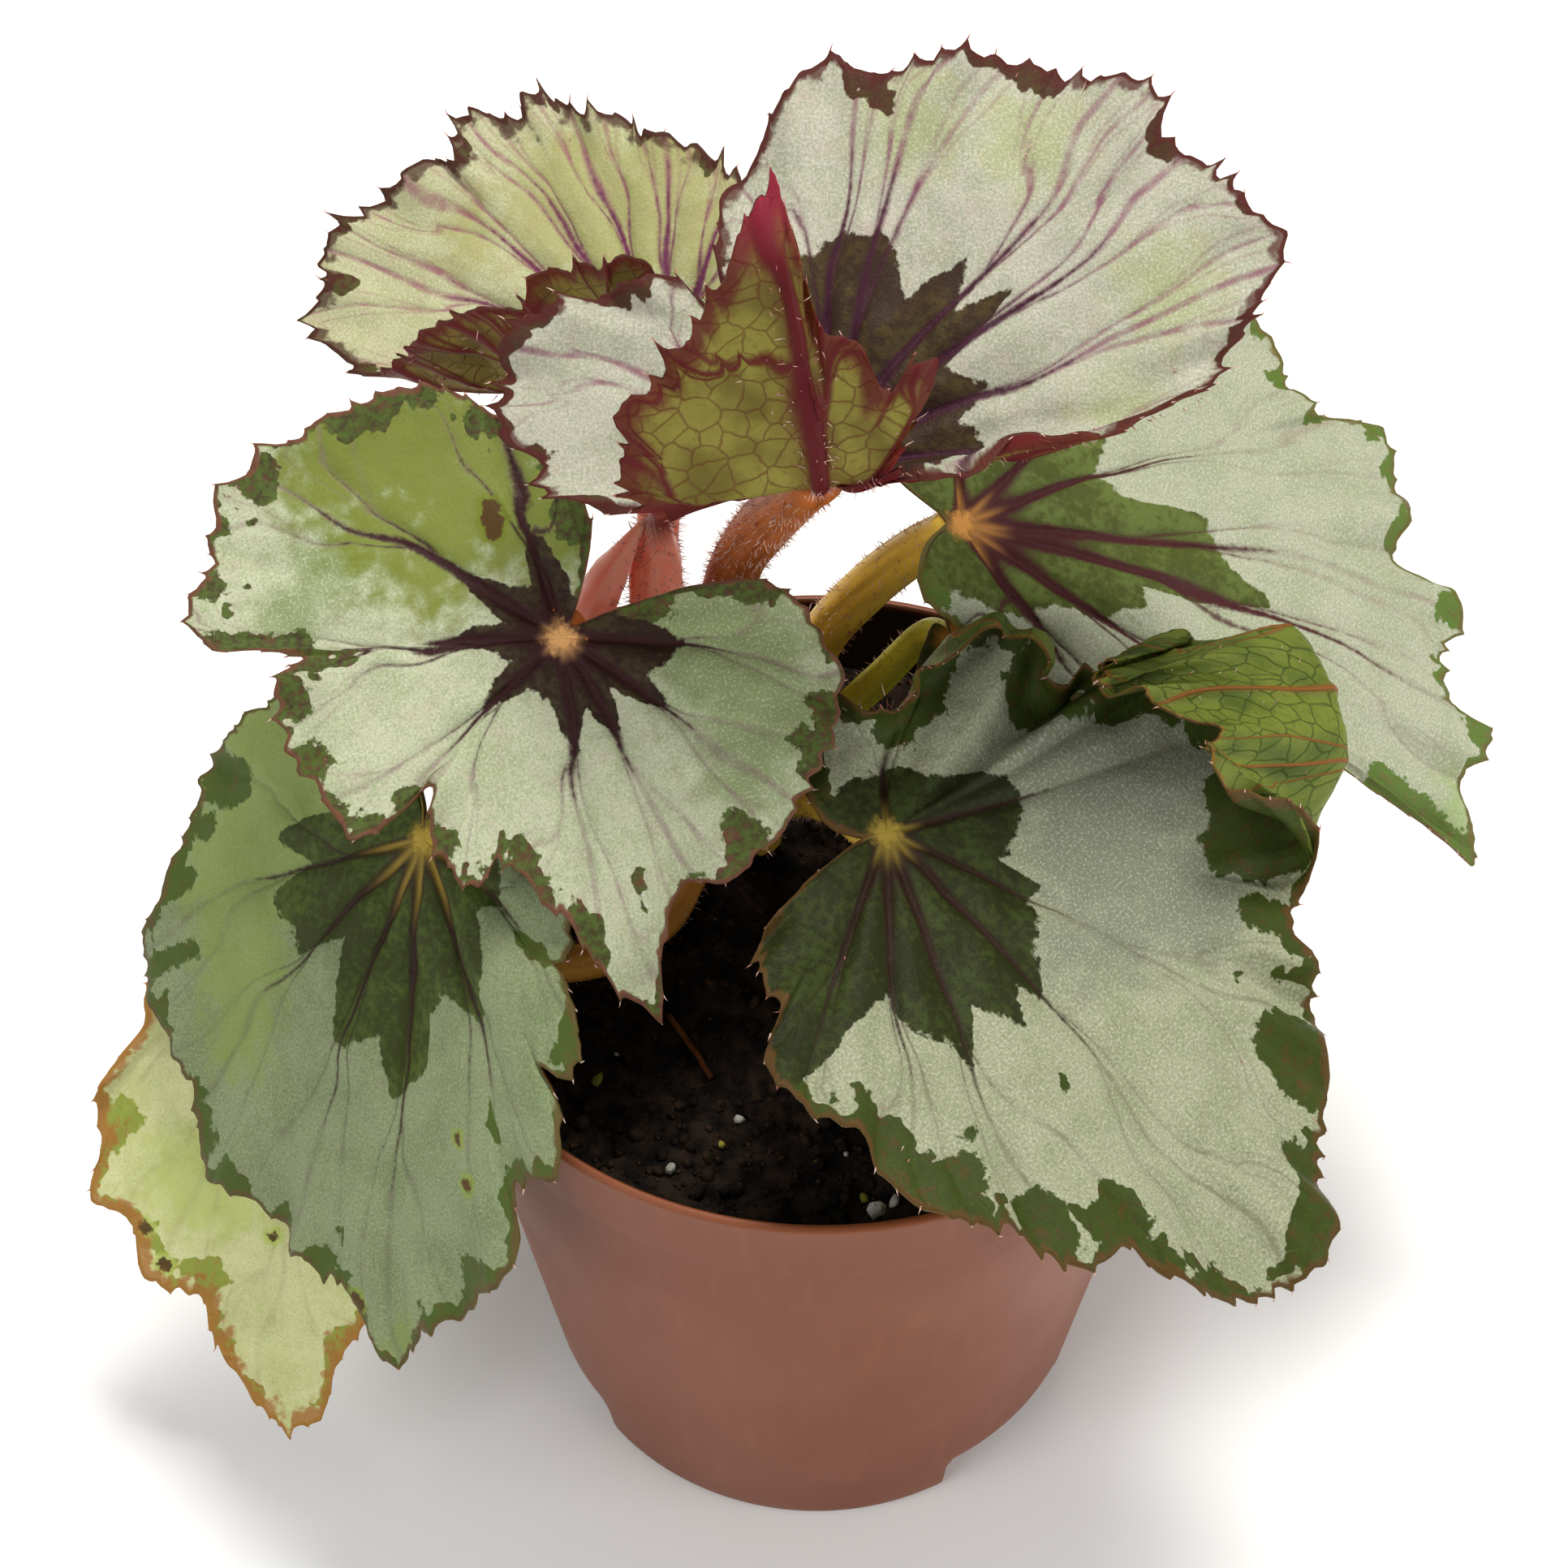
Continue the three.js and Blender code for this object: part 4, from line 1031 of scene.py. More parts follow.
LEAF_SHAPES = {
    "top": LeafShape(
        hub=(-1, 5, 172), turn=(-94, 36, -4),
        edge=(
            (12, 49, 1), (14, 35), (20, 27), (27, 26), (37, 21), (43, 24), (48, 25),
            (52, 21), (56, 10), (60, 12), (64, 9), (69, 13), (73, 12), (78, 17), (82, 19),
            (86, 27), (91, 37), (98, 45), (108, 50), (116, 58), (120, 61), (125, 60),
            (136, 57), (143, 59), (150, 56), (165, 51), (177, 46), (180, 48), (184, 46),
            (190, 41), (193, 37), (201, 34), (206, 29), (212, 21), (215, 14, 1),
            (217, 22), (220, 28), (227, 31), (236, 35), (246, 38), (254, 40), (261, 39),
            (266, 38), (271, 33), (281, 30), (286, 26), (289, 20), (292, 8, 1), (296, 20),
            (303, 23), (310, 25), (320, 27), (328, 30), (340, 30), (350, 34), (4, 40),
            (8, 44),
        ),
        ribs=(11, 62, 98, 118, 134, 146, 166, 178, 245),
        lift=(
            (0, 0), (60, 0), (95, 3), (130, 2), (160, 0), (190, 0), (210, -4), (235, -12),
            (265, -14), (286, -6), (293, 0),
        ),
        folds=(Fold(13, -1.5, 4.5, 140, (-69, 115, 4)),),
    ),
    "back_left": LeafShape(
        hub=(-20, 40.5, 152.2), turn=(149, 2, -34),
        edge=(
            (357, 52), (4, 54, 1), (7, 50), (12, 51), (17, 46), (22, 41), (30, 35),
            (40, 33), (55, 30), (64, 29), (73, 28), (82, 29), (91, 33), (99, 34),
            (106, 36), (113, 38), (119, 36), (124, 31), (130, 26), (137, 19), (145, 14),
            (155, 9), (170, 4, 1), (190, 8), (215, 10), (236, 13), (252, 17), (263, 22),
            (270, 25), (286, 29), (300, 32), (308, 36), (316, 39), (322, 44), (325, 40),
            (333, 48), (339, 42), (342, 47), (353, 50),
        ),
        ribs=(2, 30, 60, 90, 270, 292, 312, 330, 345),
        lift=((0, -2), (90, 0), (180, 0), (270, 0)),
        folds=(Fold(104, 1, 4, 110),),
    ),
    "left": LeafShape(
        hub=(-32, 5.8, 140.4), turn=(-73, 30, 8),
        edge=(
            (0, 48, 1), (3, 41), (9, 35), (20, 35), (32, 36), (44, 36), (57, 36),
            (68, 35), (80, 31), (90, 27), (98, 19), (104, 9), (110, 4.5), (118, 2.4),
            (127, 1.8, 1), (136, 2.4), (143, 6), (150, 14), (163, 20), (177, 26),
            (187, 33), (197, 37), (208, 40), (220, 43), (230, 46), (238, 47), (242, 44),
            (247, 46), (253, 46), (257, 42), (259, 31), (263, 35), (275, 37), (287, 36),
            (297, 36), (302, 33), (304, 24), (309, 26), (318, 31), (327, 32), (330, 28),
            (336, 29), (345, 34), (352, 41),
        ),
        ribs=(352, 17, 43, 75, 298, 256, 223, 182),
        lift=(
            (0, -7), (40, -4), (90, -5), (150, 0), (180, 2), (210, 0), (260, -3),
            (315, -6),
        ),
    ),
    "front_left": LeafShape(
        hub=(-50, -4.6, 113.8), turn=(-96, 40, 30),
        edge=(
            (358, 66), (3, 61), (8, 60), (14, 58), (20, 55), (23, 50), (25, 46), (31, 48),
            (37, 47), (41, 43), (42, 37), (46, 39), (52, 36), (56, 31), (59, 25),
            (66, 26), (72, 25), (80, 22), (92, 19), (110, 18), (130, 17), (155, 13),
            (170, 6), (186, 2, 1), (195, 8), (205, 16), (220, 24), (235, 30), (248, 35),
            (260, 40), (272, 45), (279, 48), (285, 50), (289, 56), (296, 55), (311, 55),
            (316, 59), (321, 61), (328, 60), (336, 60), (344, 62), (350, 66), (354, 69),
        ),
        ribs=(355, 26, 333, 308, 284, 60),
        lift=(
            (0, -5), (20, 1), (40, 6), (75, 2), (110, -3), (180, 0), (230, -3), (270, -4),
            (315, -6),
        ),
    ),
    "low_left": LeafShape(
        hub=(-70.6, 7, 80), turn=(-91, 54, 7),
        edge=(
            (357, 77, 1), (354, 72), (351, 69), (348, 63), (344, 57), (337, 58),
            (333, 54), (328, 51), (324, 51), (319, 44), (312, 40), (308, 31), (302, 25),
            (294, 23), (286, 21), (268, 14), (248, 10), (225, 7), (192, 2, 1), (165, 6),
            (130, 9), (90, 11), (61, 13), (45, 18), (32, 24), (22, 32), (16, 42),
            (12, 50), (8, 59), (3, 65), (1, 72),
        ),
        ribs=(356, 20, 336, 312),
        lift=((0, -3), (90, -3), (180, 0), (270, -4)),
    ),
    "right": LeafShape(
        hub=(18, 29, 136), turn=(-12, 20, 14), grow=1.015,
        edge=(
            (356, 86, 1), (358.5, 82), (2, 78), (8, 80), (9, 73), (14, 73), (18, 75),
            (21, 74), (22, 69), (24, 65), (29, 66), (35, 68), (40, 68), (42, 63),
            (44, 57), (50, 57), (56, 57), (62, 52), (71, 42), (84, 32), (104, 24),
            (129, 21), (150, 17), (163, 12), (173, 3, 1), (195, 2), (215, 3), (232, 6),
            (249, 9), (266, 12), (284, 14), (304, 17), (316, 22), (326, 27), (334, 31),
            (340, 36), (344, 40), (346, 46), (349, 46), (351, 52), (353.5, 56),
            (354.6, 62), (355.2, 70), (355.6, 78),
        ),
        ribs=(10, 20, 45, 67, 326, 350, 110),
        lift=(
            (0, -7), (20, -6), (45, -5), (90, 0), (130, 2), (180, 0), (230, -4),
            (300, -14), (330, -14), (346, -9),
        ),
    ),
    "front_right": LeafShape(
        hub=(8, -11, 123), turn=(-40, 15, -5), grow=0.987,
        edge=(
            (358, 74), (2, 75, 1), (5, 73), (10, 69), (15, 66), (21, 64), (27, 60),
            (32, 57), (36, 54), (39, 55), (43, 67), (48, 84), (54, 87), (60, 91),
            (65, 95), (69, 90), (73, 78), (77, 61), (81, 47), (86, 39), (94, 37),
            (103, 38), (110, 40), (116, 39), (120, 32), (125, 24), (131, 20), (142, 20),
            (155, 21), (168, 19), (180, 15), (194, 12), (210, 9), (228, 5), (240, 3, 1),
            (252, 7), (260, 14), (269, 24), (276, 28), (283, 30), (286, 37), (290, 40),
            (304, 43), (309, 46), (315, 50), (327, 55), (337, 60), (341, 59), (344, 63),
            (348, 68), (354, 73),
        ),
        ribs=(358, 23, 64, 331, 312, 292, 132),
        curl=(
            (33, 70, 0), (38, 54, 30), (43, 50, 120), (48, 52, 145), (54, 56, 150),
            (60, 55, 155), (66, 53, 155), (71, 48, 150), (75, 42, 148), (79, 35, 140),
            (84, 30, 110), (90, 27, 125), (98, 28, 142), (105, 28, 142), (112, 24, 135),
            (118, 20, 130), (125, 14, 110), (140, 13, 100), (158, 14, 90), (172, 14, 40),
            (184, 15, 0),
        ),
        lift=(
            (0, -6), (25, -4), (45, 1), (57, 8), (64, 11), (69, 14), (74, 11), (78, 19),
            (84, 0), (90, 5), (98, 20), (106, 18), (114, 13), (130, 20), (160, 10),
            (180, 2), (220, -2), (270, -3), (300, -1), (325, -3), (345, -5),
        ),
    ),
    "inner": LeafShape(
        hub=(18, 29, 113), turn=(-60, 32, 0),
        edge=(
            (0, 24, 1), (15, 20), (40, 18), (70, 18), (100, 16), (130, 13), (155, 10),
            (180, 2, 1), (205, 4), (230, 4), (260, 5), (290, 8), (320, 13), (345, 19),
        ),
        ribs=(0, 50, 310),
        lift=((0, -8), (90, -10), (180, 0), (270, -8)),
    ),
}

CIRCLE_4 = ((0, 4), (90, 4), (180, 4), (270, 4))  # the centre of a leaf without a star


def leaves() -> list[Leaf]:
    """The eight leaves with their markings."""
    return [
        Leaf(
            "leaf_top", LEAF_SHAPES["top"],
            LeafFinish(
                "top leaf", silver="#aba998", silver_dark="#868c6f", blush="#b0978f",
                centre="#35251a", centre_light="#46391e", vein="#3c1a28",
                vein_far="#7c4a5c", hub="#5a3a30", hub_reach=0.1, hub_arms=0.2,
                margin="#472a20", margin_reach=1.6, margin_bias=0.46, edge="#4c1e1c",
                edge_width=1.0, under="#807734", under_dark="#645824", under_vein="#541216",
                painted_shade="#9aa070", net="#5c2a18", net_size=3.0, net_share=0.6, under_line=1.4,
                glint="#d6d2c6", thread=0.85, thread_width=0.75),
            Slot.SILVER,
            star=((-150, 14), (-120, 8), (-60, 10), (-20, 8), (30, 8), (62, 10), (80, 14),
                  (98, 20), (110, 18), (118, 22), (130, 19), (135, 31), (141, 25),
                  (147, 30), (155, 22), (163, 27), (168, 29), (173, 28), (177, 27),
                  (190, 24), (200, 20)),
            spikes=(34, 26, 36, 34, 44, 42, 38, 38, 22), spike_width=1.25,
            tooth_height=1.0, wave=2.2, hairs=700,
            # Painted shade in the listed zones.
            painted_shade_spots=((168, 42, 5), (150, 46, 5), (120, 46, 5), (104, 36, 3)),
            tips=((12, 48, 11),), lobe_height=1.5, seed=21),
        Leaf(
            "leaf_back_left", LEAF_SHAPES["back_left"],
            LeafFinish(
                "back left leaf", silver="#b0b08c", silver_dark="#8f9462", blush="#b8988e",
                centre="#5a4430", vein="#642c4a", vein_far="#86445e", hub_reach=0.1,
                hub_arms=0.2, margin="#4a2a20", margin_reach=1.7, edge="#43201b",
                edge_width=1.3, lime="#949250", lime_share=0.6, under="#7c6c30",
                under_dark="#5c4a1e", under_vein="#5a1618", net="#4e2018", glint="#d6d2b8",
                thread=0.75, thread_width=0.7),
            Slot.PALE, star=CIRCLE_4,
            spikes=(34, 30, 22, 25, 25, 28, 32, 34, 36), spike_width=0.95,
            limes=((-37, 27, 9), (-65, 26, 7), (-50, 20, 8), (-12, 34, 4), (-85, 18, 6)),
            tooth_height=1.25, wave=1.5, lobe_height=2.0, hairs=300, seed=22),
        Leaf(
            "leaf_left", LEAF_SHAPES["left"],
            LeafFinish(
                "left leaf", silver="#adb094", silver_dark="#7f8e62", blush="#a8928a",
                # The hub is painted brighter and wider than its own yellow. It is partly the
                # real yellow hub and partly painted light for the bright spot at its middle.
                centre="#2c1d16", centre_light="#3d3420", vein="#33191a",
                vein_far="#7c6464", painted_shade="#73824f", hub="#e2aa6c", hub_reach=2.7,
                hub_arms=3.6, margin="#4b5a27", margin_reach=2.6, margin_bias=0.45,
                edge="#6b4034", edge_width=0.45, lime="#69731e", glint="#d0d2bc",
                thread=0.6),
            Slot.SILVER,
            star=((-178, 15), (-165, 8), (-150, 9), (-137, 15), (-120, 7), (-104, 14),
                  (-92, 8), (-80, 7), (-62, 13), (-48, 7.5), (-38, 7), (-20, 9), (-8, 14),
                  (5, 9), (17, 14), (30, 9), (43, 16), (52, 12), (60, 13), (75, 15),
                  (92, 9), (115, 6), (140, 5), (160, 7)),
            spikes=(21, 19, 20, 22, 20, 30, 38, 30), spike_width=1.2, wave=1.4,
            lobe_height=1.8,
            patches=((-152, 38, 2), (-149, 39, 1.8), (-165, 35, 2), (-175, 30, 1.5),
                     (-132, 42, 2.2), (-123, 45, 1.2), (-114, 44, 1.8), (-103, 33, 2.2),
                     (-92, 34, 2.5), (-78, 34, 2.4), (-68, 36, 2.4), (-57, 27, 2),
                     (-45, 29, 2.2), (-22, 31, 2.6), (-29, 30, 1.8), (158, 15, 3.4),
                     (101, 9, 3), (108, 11, 3), (92, 24, 2.6), (61, 33, 2.2), (53, 32, 1.6),
                     (28, 32, 2.4), (13, 35, 2)),
            limes=((-161, 28, 9), (-170, 22, 9), (-177, 17, 8), (163, 16, 7), (150, 13, 5),
                   (-150, 20, 7), (-150, 33, 8), (-138, 26, 7), (-160, 38, 6),
                   (-132, 18, 5), (-142, 36, 7)),
            specks=((-164, 17, 1.5), (-166, 18.5, 1.2), (-162, 15.6, 1.1)),
            # Painted shade in the listed zones.
            painted_shade_spots=((88, 17, 8), (70, 22, 9), (55, 26, 8), (38, 28, 4), (-125, 30, 5),
                   (-110, 34, 3), (-150, 40, 3)), seed=23),
        Leaf(
            "leaf_front_left", LEAF_SHAPES["front_left"],
            LeafFinish(
                "front left leaf", silver="#7d8764", silver_dark="#5b6a42", blush="#77725c",
                centre="#343b16", centre_light="#465420", vein="#2f1f16",
                vein_far="#5f5a4a", hub="#b0963a", hub_reach=3.0, hub_arms=13.0,
                margin="#41521f", margin_reach=2.4, margin_bias=0.44, edge="#574527",
                edge_width=0.6, lime="#7b8c3a", lime_share=0.6, glint="#9fa884",
                thread=0.45),
            Slot.GREEN,
            star=((-130, 8), (-103, 12), (-86, 26), (-80, 21), (-76, 20), (-70, 26),
                  (-67, 27), (-58, 25), (-51, 27), (-49, 23), (-42, 18), (-36, 22),
                  (-31, 27), (-27, 31), (-20, 29), (-13, 26), (-7, 34), (0, 31), (4, 29),
                  (6, 23), (12, 20), (18, 20), (26, 25), (32, 22), (40, 19), (50, 13),
                  (60, 15), (67, 14), (110, 8), (180, 6)),
            spikes=(46, 34, 42, 36, 31, 20), spike_width=0.95, lobe_height=2.0,
            patches=((-98, 35, 3.4), (-88, 40, 1.8), (-78, 45, 2.1), (-67, 46, 1.6),
                     (-48, 55, 2), (-45, 56, 1.5), (-42, 58, 2), (-36, 58, 2),
                     (-27, 59, 2.2), (-18, 60, 2.8), (27, 45, 2.5), (11, 55, 2.6),
                     (20, 57, 2), (47, 36, 1)),
            limes=((-95, 28, 12), (-78, 33, 11), (-62, 36, 9), (-50, 42, 6), (-110, 22, 8),
                   (-3, 66, 3)),
            specks=((14, 38, 0.8), (15, 44, 1.0), (-12, 63, 1.5)), seed=24),
        Leaf(
            "leaf_low_left", LEAF_SHAPES["low_left"],
            LeafFinish(
                "low left leaf", silver="#c3c492", silver_dark="#a2ac68", blush="#b5a876",
                centre="#6b7a34", centre_light="#8a9646", vein="#8a8a58",
                vein_far="#a09a6c", hub="#b39a4a", margin="#84903a", margin_reach=2.4,
                margin_bias=0.44, edge="#9a6430", edge_width=1.7, rust=1.0, lime="#a7b55a",
                lime_share=0.6, under="#9aa54c", glint="#d3d3a2", thread=0.4),
            Slot.PALE, star=CIRCLE_4, spikes=(10, 10, 10, 10),
            patches=((-42, 41, 3), (-41, 38, 2.6), (-43, 44, 2)),
            limes=((-20, 40, 8), (-8, 30, 9)),
            specks=((-22, 55, 1.2), (-14, 59, 0.7), (-11, 66, 1), (-27, 51, 1.3),
                    (-6, 46, 0.9)), seed=25),
        Leaf(
            "leaf_right", LEAF_SHAPES["right"],
            LeafFinish(
                "right leaf", silver="#a2a48d", silver_dark="#828e68", blush="#9e9484",
                centre="#454c1e", centre_light="#5a6630", vein="#431f20",
                vein_far="#857468", hub="#cc9148", hub_reach=2.8, hub_arms=8.0,
                margin="#536c2a", margin_reach=1.5, margin_bias=0.45, edge="#66572e",
                edge_width=0.5, lime="#86a04c", lime_share=0.5, glint="#d4d6c6",
                thread=0.45),
            Slot.PALE,
            star=((-94, 9), (-63, 10), (-34, 14), (-21, 15), (-10, 22), (-4, 23), (0, 26),
                  (5, 25), (7, 31), (11, 39), (12, 45), (20, 37), (28, 35), (32, 27),
                  (35, 23), (45, 21), (54, 25), (62, 20), (67, 19), (78, 26), (90, 30),
                  (110, 26), (150, 18), (180, 6), (-130, 7)),
            spikes=(66, 46, 38, 32, 26, 44, 16), spike_width=1.35, wave=1.9,
            patches=((40, 68, 2.2), (19, 73, 2), (7, 79, 2.2), (-4, 66, 2.3),
                     (-7, 60, 1.2), (49, 57, 1.4), (29, 66, 1.2), (-96, 7, 2.4)),
            limes=((-1, 80, 3),), seed=26),
        Leaf(
            "leaf_front_right", LEAF_SHAPES["front_right"],
            LeafFinish(
                "front right leaf", silver="#92957a", silver_dark="#6b7351",
                blush="#8f8773", centre="#23270d", centre_light="#323b16", vein="#291a11",
                vein_far="#6a6650", hub="#9a8434", hub_reach=3.0, hub_arms=6.0,
                margin="#364314", margin_reach=3.0, margin_bias=0.4, edge="#54391c",
                # Painted shade: the grey-green of the upper part, which the curl and the leaves
                # above shade.
                edge_width=0.7, painted_shade="#6f7362", under="#66702a", under_dark="#48561d",
                under_vein="#7a4a1e", net="#2f3d14", net_size=3.2, net_share=0.7,
                under_line=0.5, glint="#c8cab2", thread=0.65, thread_width=0.6),
            Slot.SILVER,
            star=((-118, 12), (-108, 40), (-84, 45), (-70, 42), (-64, 35), (-58, 27),
                  (-48, 22), (-46, 26), (-40, 28), (-33, 29), (-29, 32), (-24, 25),
                  (-13, 29), (-8, 25), (-3, 28), (4, 24), (16, 21), (23, 19), (29, 21),
                  (34, 15), (44, 16), (52, 18), (64, 19), (74, 18), (86, 14), (97, 11),
                  (150, 8), (180, 8)),
            spikes=(38, 25, 24, 38, 34, 38, 12), spike_width=1.0, wave=2.5, frill_from=0.62,
            # Painted shade zones in the upper part, under the curl and the leaves above.
            painted_shade_spots=((42, 28, 9), (24, 31, 6), (56, 32, 9), (36, 38, 8), (60, 40, 6),
                   (12, 27, 4), (70, 26, 8)),
            # Patches from 46 to 127 degrees lay dark green along the inner side of the rolled
            # margin. They are partly the real green margin and partly painted shadow under the
            # flap.
            patches=((21, 56, 3.8), (19, 60, 3.8), (36, 48, 2.2), (34, 54, 2.4),
                     (9, 64, 2.2), (-57, 44, 3.4), (-63, 43, 2.5), (-39, 46, 3),
                     (-28, 52, 3.3), (-18, 56, 3.6), (-15, 63, 2.2), (-9, 68, 2.8),
                     (-5, 73, 2), (-14, 38, 0.9), (-36, 41, 1), (46, 45, 4), (53, 46, 4),
                     (60, 48, 4), (66, 46, 4.5), (72, 42, 4.5), (78, 35, 4), (84, 30, 3.5),
                     (91, 28, 3.5), (103, 32, 3), (110, 31, 3), (120, 20, 4),
                     (127, 15, 3)),
            hairs=260, seed=27),
        Leaf(
            "leaf_inner", LEAF_SHAPES["inner"],
            LeafFinish(
                "inner leaf", silver="#8f9a84", silver_dark="#6d7a5e", centre="#2b3218",
                centre_light="#3c4620", margin="#33421c", margin_reach=2.6,
                margin_bias=0.42, edge="#4f4a26", glint="#b5bbaa", under="#6f7c30"),
            Slot.GREEN, star=((0, 5), (90, 6), (180, 5), (270, 5)), spikes=(8, 8, 8),
            rings=30, seed=28),
    ]


# ------------------------------------------------------------------------------ stalks

@dataclass(frozen=True)
class StalkFinish:
    """Begonia stalk skin: juicy, ridged lengthwise, speckled and lit from within.

    tip is the colour of the last eighth, where it differs. glow is how much light goes
    through, and depth how far it goes, in metres.
    """

    name: str
    colour: str
    dark: str
    foot: str
    tip: str | None = None
    pale: str = "#e2cfa8"
    glow: float = 0.1
    depth: float = 0.002

    def ink(self) -> bpy.types.Material:
        """Colour from foot to leaf, fine lengthwise streaks and small pale specks."""
        ink = Ink(f"{self.name} skin")
        place = ink.add("UVMap", uv_map="skin")
        streak = ink.add("TexNoise", ink.add("Mapping", place, sockets={
            "Scale": (60.0, 3.0, 1.0)}), sockets={"Scale": 1.0, "Detail": 4.0})
        blotch = ink.add("TexNoise", place, sockets={"Scale": 14.0, "Detail": 4.0})
        speck = ink.add("TexVoronoi", place, out="Distance", sockets={"Scale": 90.0})
        along = ink.add("Attribute", attribute_name="along", out=2)
        tip = [(self.tip, along, 0.87, 0.98)] if self.tip else []
        colour = ink.painted(
            self.foot, (self.colour, along, 0.05, 0.6),
            (self.dark, streak, 0.45, 0.75, 0.0, 0.7),
            (self.dark, blotch, 0.5, 0.8, 0.0, 0.6),
            (self.pale, speck, 0.2, 0.05, 0.0, 0.45), *tip)
        return ink.finish(
            Base_Color=colour, Roughness=0.45, IOR=1.42, Specular_IOR_Level=0.3,
            Subsurface_Weight=self.glow, Subsurface_Scale=self.depth,
            Subsurface_Radius=(1.0, 0.5, 0.35),
            Normal=ink.add("Bump", sockets={
                "Strength": streak, "Distance": 0.3 * MM, "Height": streak}))


@dataclass
class Stalk:
    """A leaf's stalk: a ridged tube from the soil to the hub, with hairs all over.

    ridges are the lengthwise ones: height as a share of the radius, how many, and how
    many radians they turn from end to end.
    """

    name: str
    path: Points
    radii: tuple[float, ...]
    finish: StalkFinish
    slot: Slot
    leaf: str | None = None
    hairs: int = 500
    hair_length: float = 1.5
    hair_from: float = 87.5
    ridges: Points = ((0.035, 5, 3), (0.02, 9, -4))
    swelling: float = 0.05
    flare: float = 0.12
    flare_rings: int = 9
    sides: int = 48
    stations: int = 110
    foot_level: float = 76.0
    stands_for: bool = True
    seed: int = 5

    def centre_line(self) -> Array:
        """Points of the centre line, ending just inside the leaf's underside."""
        points = [(*self.path[0][:2], self.foot_level), *self.path]
        if self.leaf:
            shape = LEAF_SHAPES[self.leaf]
            gap = 0.35 + self.radii[-1] * 0.6
            points.append(tuple(np.array(shape.hub) - shape.hub_normal() * gap))
        return catmull(np.array(points, float), self.stations)

    def surface(self) -> tuple[Array, Array]:
        """Points and outward directions of the tube.

        A point is the centre, plus the radius times the cross vectors turned round, with
        the radius changed by lengthwise ridges and slow seeded swelling. Under a leaf the
        last rings widen, and the end ring is slid along the path onto the hub's plane.
        """
        centres = self.centre_line()
        tangents, across, other = carried_frame(centres)
        share = np.linspace(0.0, 1.0, self.stations)[:, None]
        turn = turns(self.sides)
        ridge = sum(high * np.cos(count * turn + twist * share)
                    for high, count, twist in self.ridges)
        swell = self.swelling * value_noise(share * 9.0, turn * 0.6, 1.0, self.seed)
        radius = np.interp(share, np.linspace(0.0, 1.0, len(self.radii)), self.radii)
        way = spread(across, other, self.sides)
        points = centres[:, None] + way * (radius * (1 + ridge + swell))[..., None]
        if self.leaf:
            shape = LEAF_SHAPES[self.leaf]
            out = shape.hub_normal()
            seat = np.array(shape.hub) - out * 0.3
            last = slice(-self.flare_rings, None)
            widen = smooth((share[last] - share[last][0]) / (1 - share[last][0])) ** 2
            points[last] += way[last] * widen[..., None] * self.flare * self.radii[-1]
            drop = (seat - points[-1]) @ out / (tangents[-1] @ out)
            points[-1] += tangents[-1] * drop[:, None]
            points[-2] = np.where(((points[-2] - seat) @ out > -0.3)[:, None],
                                  points[-1] - tangents[-1] * 0.4, points[-2])
        return points, way

    def build(self) -> list[bpy.types.Object]:
        """The tube and its hairs, built and dressed."""
        rings, way = self.surface()
        tube = put_mesh(f"{self.name}_skin", *closed_tube(rings), (self.finish.ink(),),
                        self.slot, self.name if self.stands_for else None)
        share = np.repeat(np.linspace(0.0, 1.0, self.stations), self.sides)
        add_field(tube, "along", np.append(share, [0.0, 1.0]))
        length = np.linalg.norm(np.diff(rings.mean(1), axis=0), axis=1).sum()
        around = np.tile(turns(self.sides) * self.radii[0], self.stations)
        add_uv(tube, "skin", np.stack([np.append(around, [0, 0]),
                                       np.append(share, [0, 1]) * length], -1))
        return [tube, self.build_hairs(rings, way)]

    def build_hairs(self, rings: Array, way: Array) -> bpy.types.Object:
        """Hairs at seeded places on the tube above the soil."""
        random = np.random.default_rng(self.seed + 100)
        above = np.flatnonzero(rings[:, :, 2].min(1) > self.hair_from)
        row = random.choice(above[:-3], self.hairs)
        column = random.integers(0, self.sides, self.hairs)
        out = way[row, column]
        lean = unit(out + random.normal(0.0, 0.35, (self.hairs, 3)))
        size = random.uniform(0.4, 1.2, self.hairs) * self.hair_length
        hairs = hair_mesh(rings[row, column] - out * 0.1, lean, size, 0.075, 0.3, self.seed)
        return put_mesh(f"{self.name}_hairs", *hairs, (HairFinish().ink(),), self.slot)


OCHRE = StalkFinish("ochre stalk", "#e6bc46", "#b48a30", "#cfa43e")
GREEN = StalkFinish("yellow-green stalk", "#d6d03c", "#a89c2a", "#c0b040")
RED = StalkFinish("red stalk", "#a3551f", "#743616", "#9c4a2c")
PINK = StalkFinish("pink stalk", "#ffa490", "#f47460", "#ff9680", glow=0.8, depth=0.006)
YOUNG = StalkFinish("young leaf", "#ffa088", "#f46c56", "#ff947c", tip="#7a3a30",
                    glow=0.8, depth=0.006)
ORANGE = StalkFinish("orange stalk", "#cf9434", "#a2641f", "#b87c30")


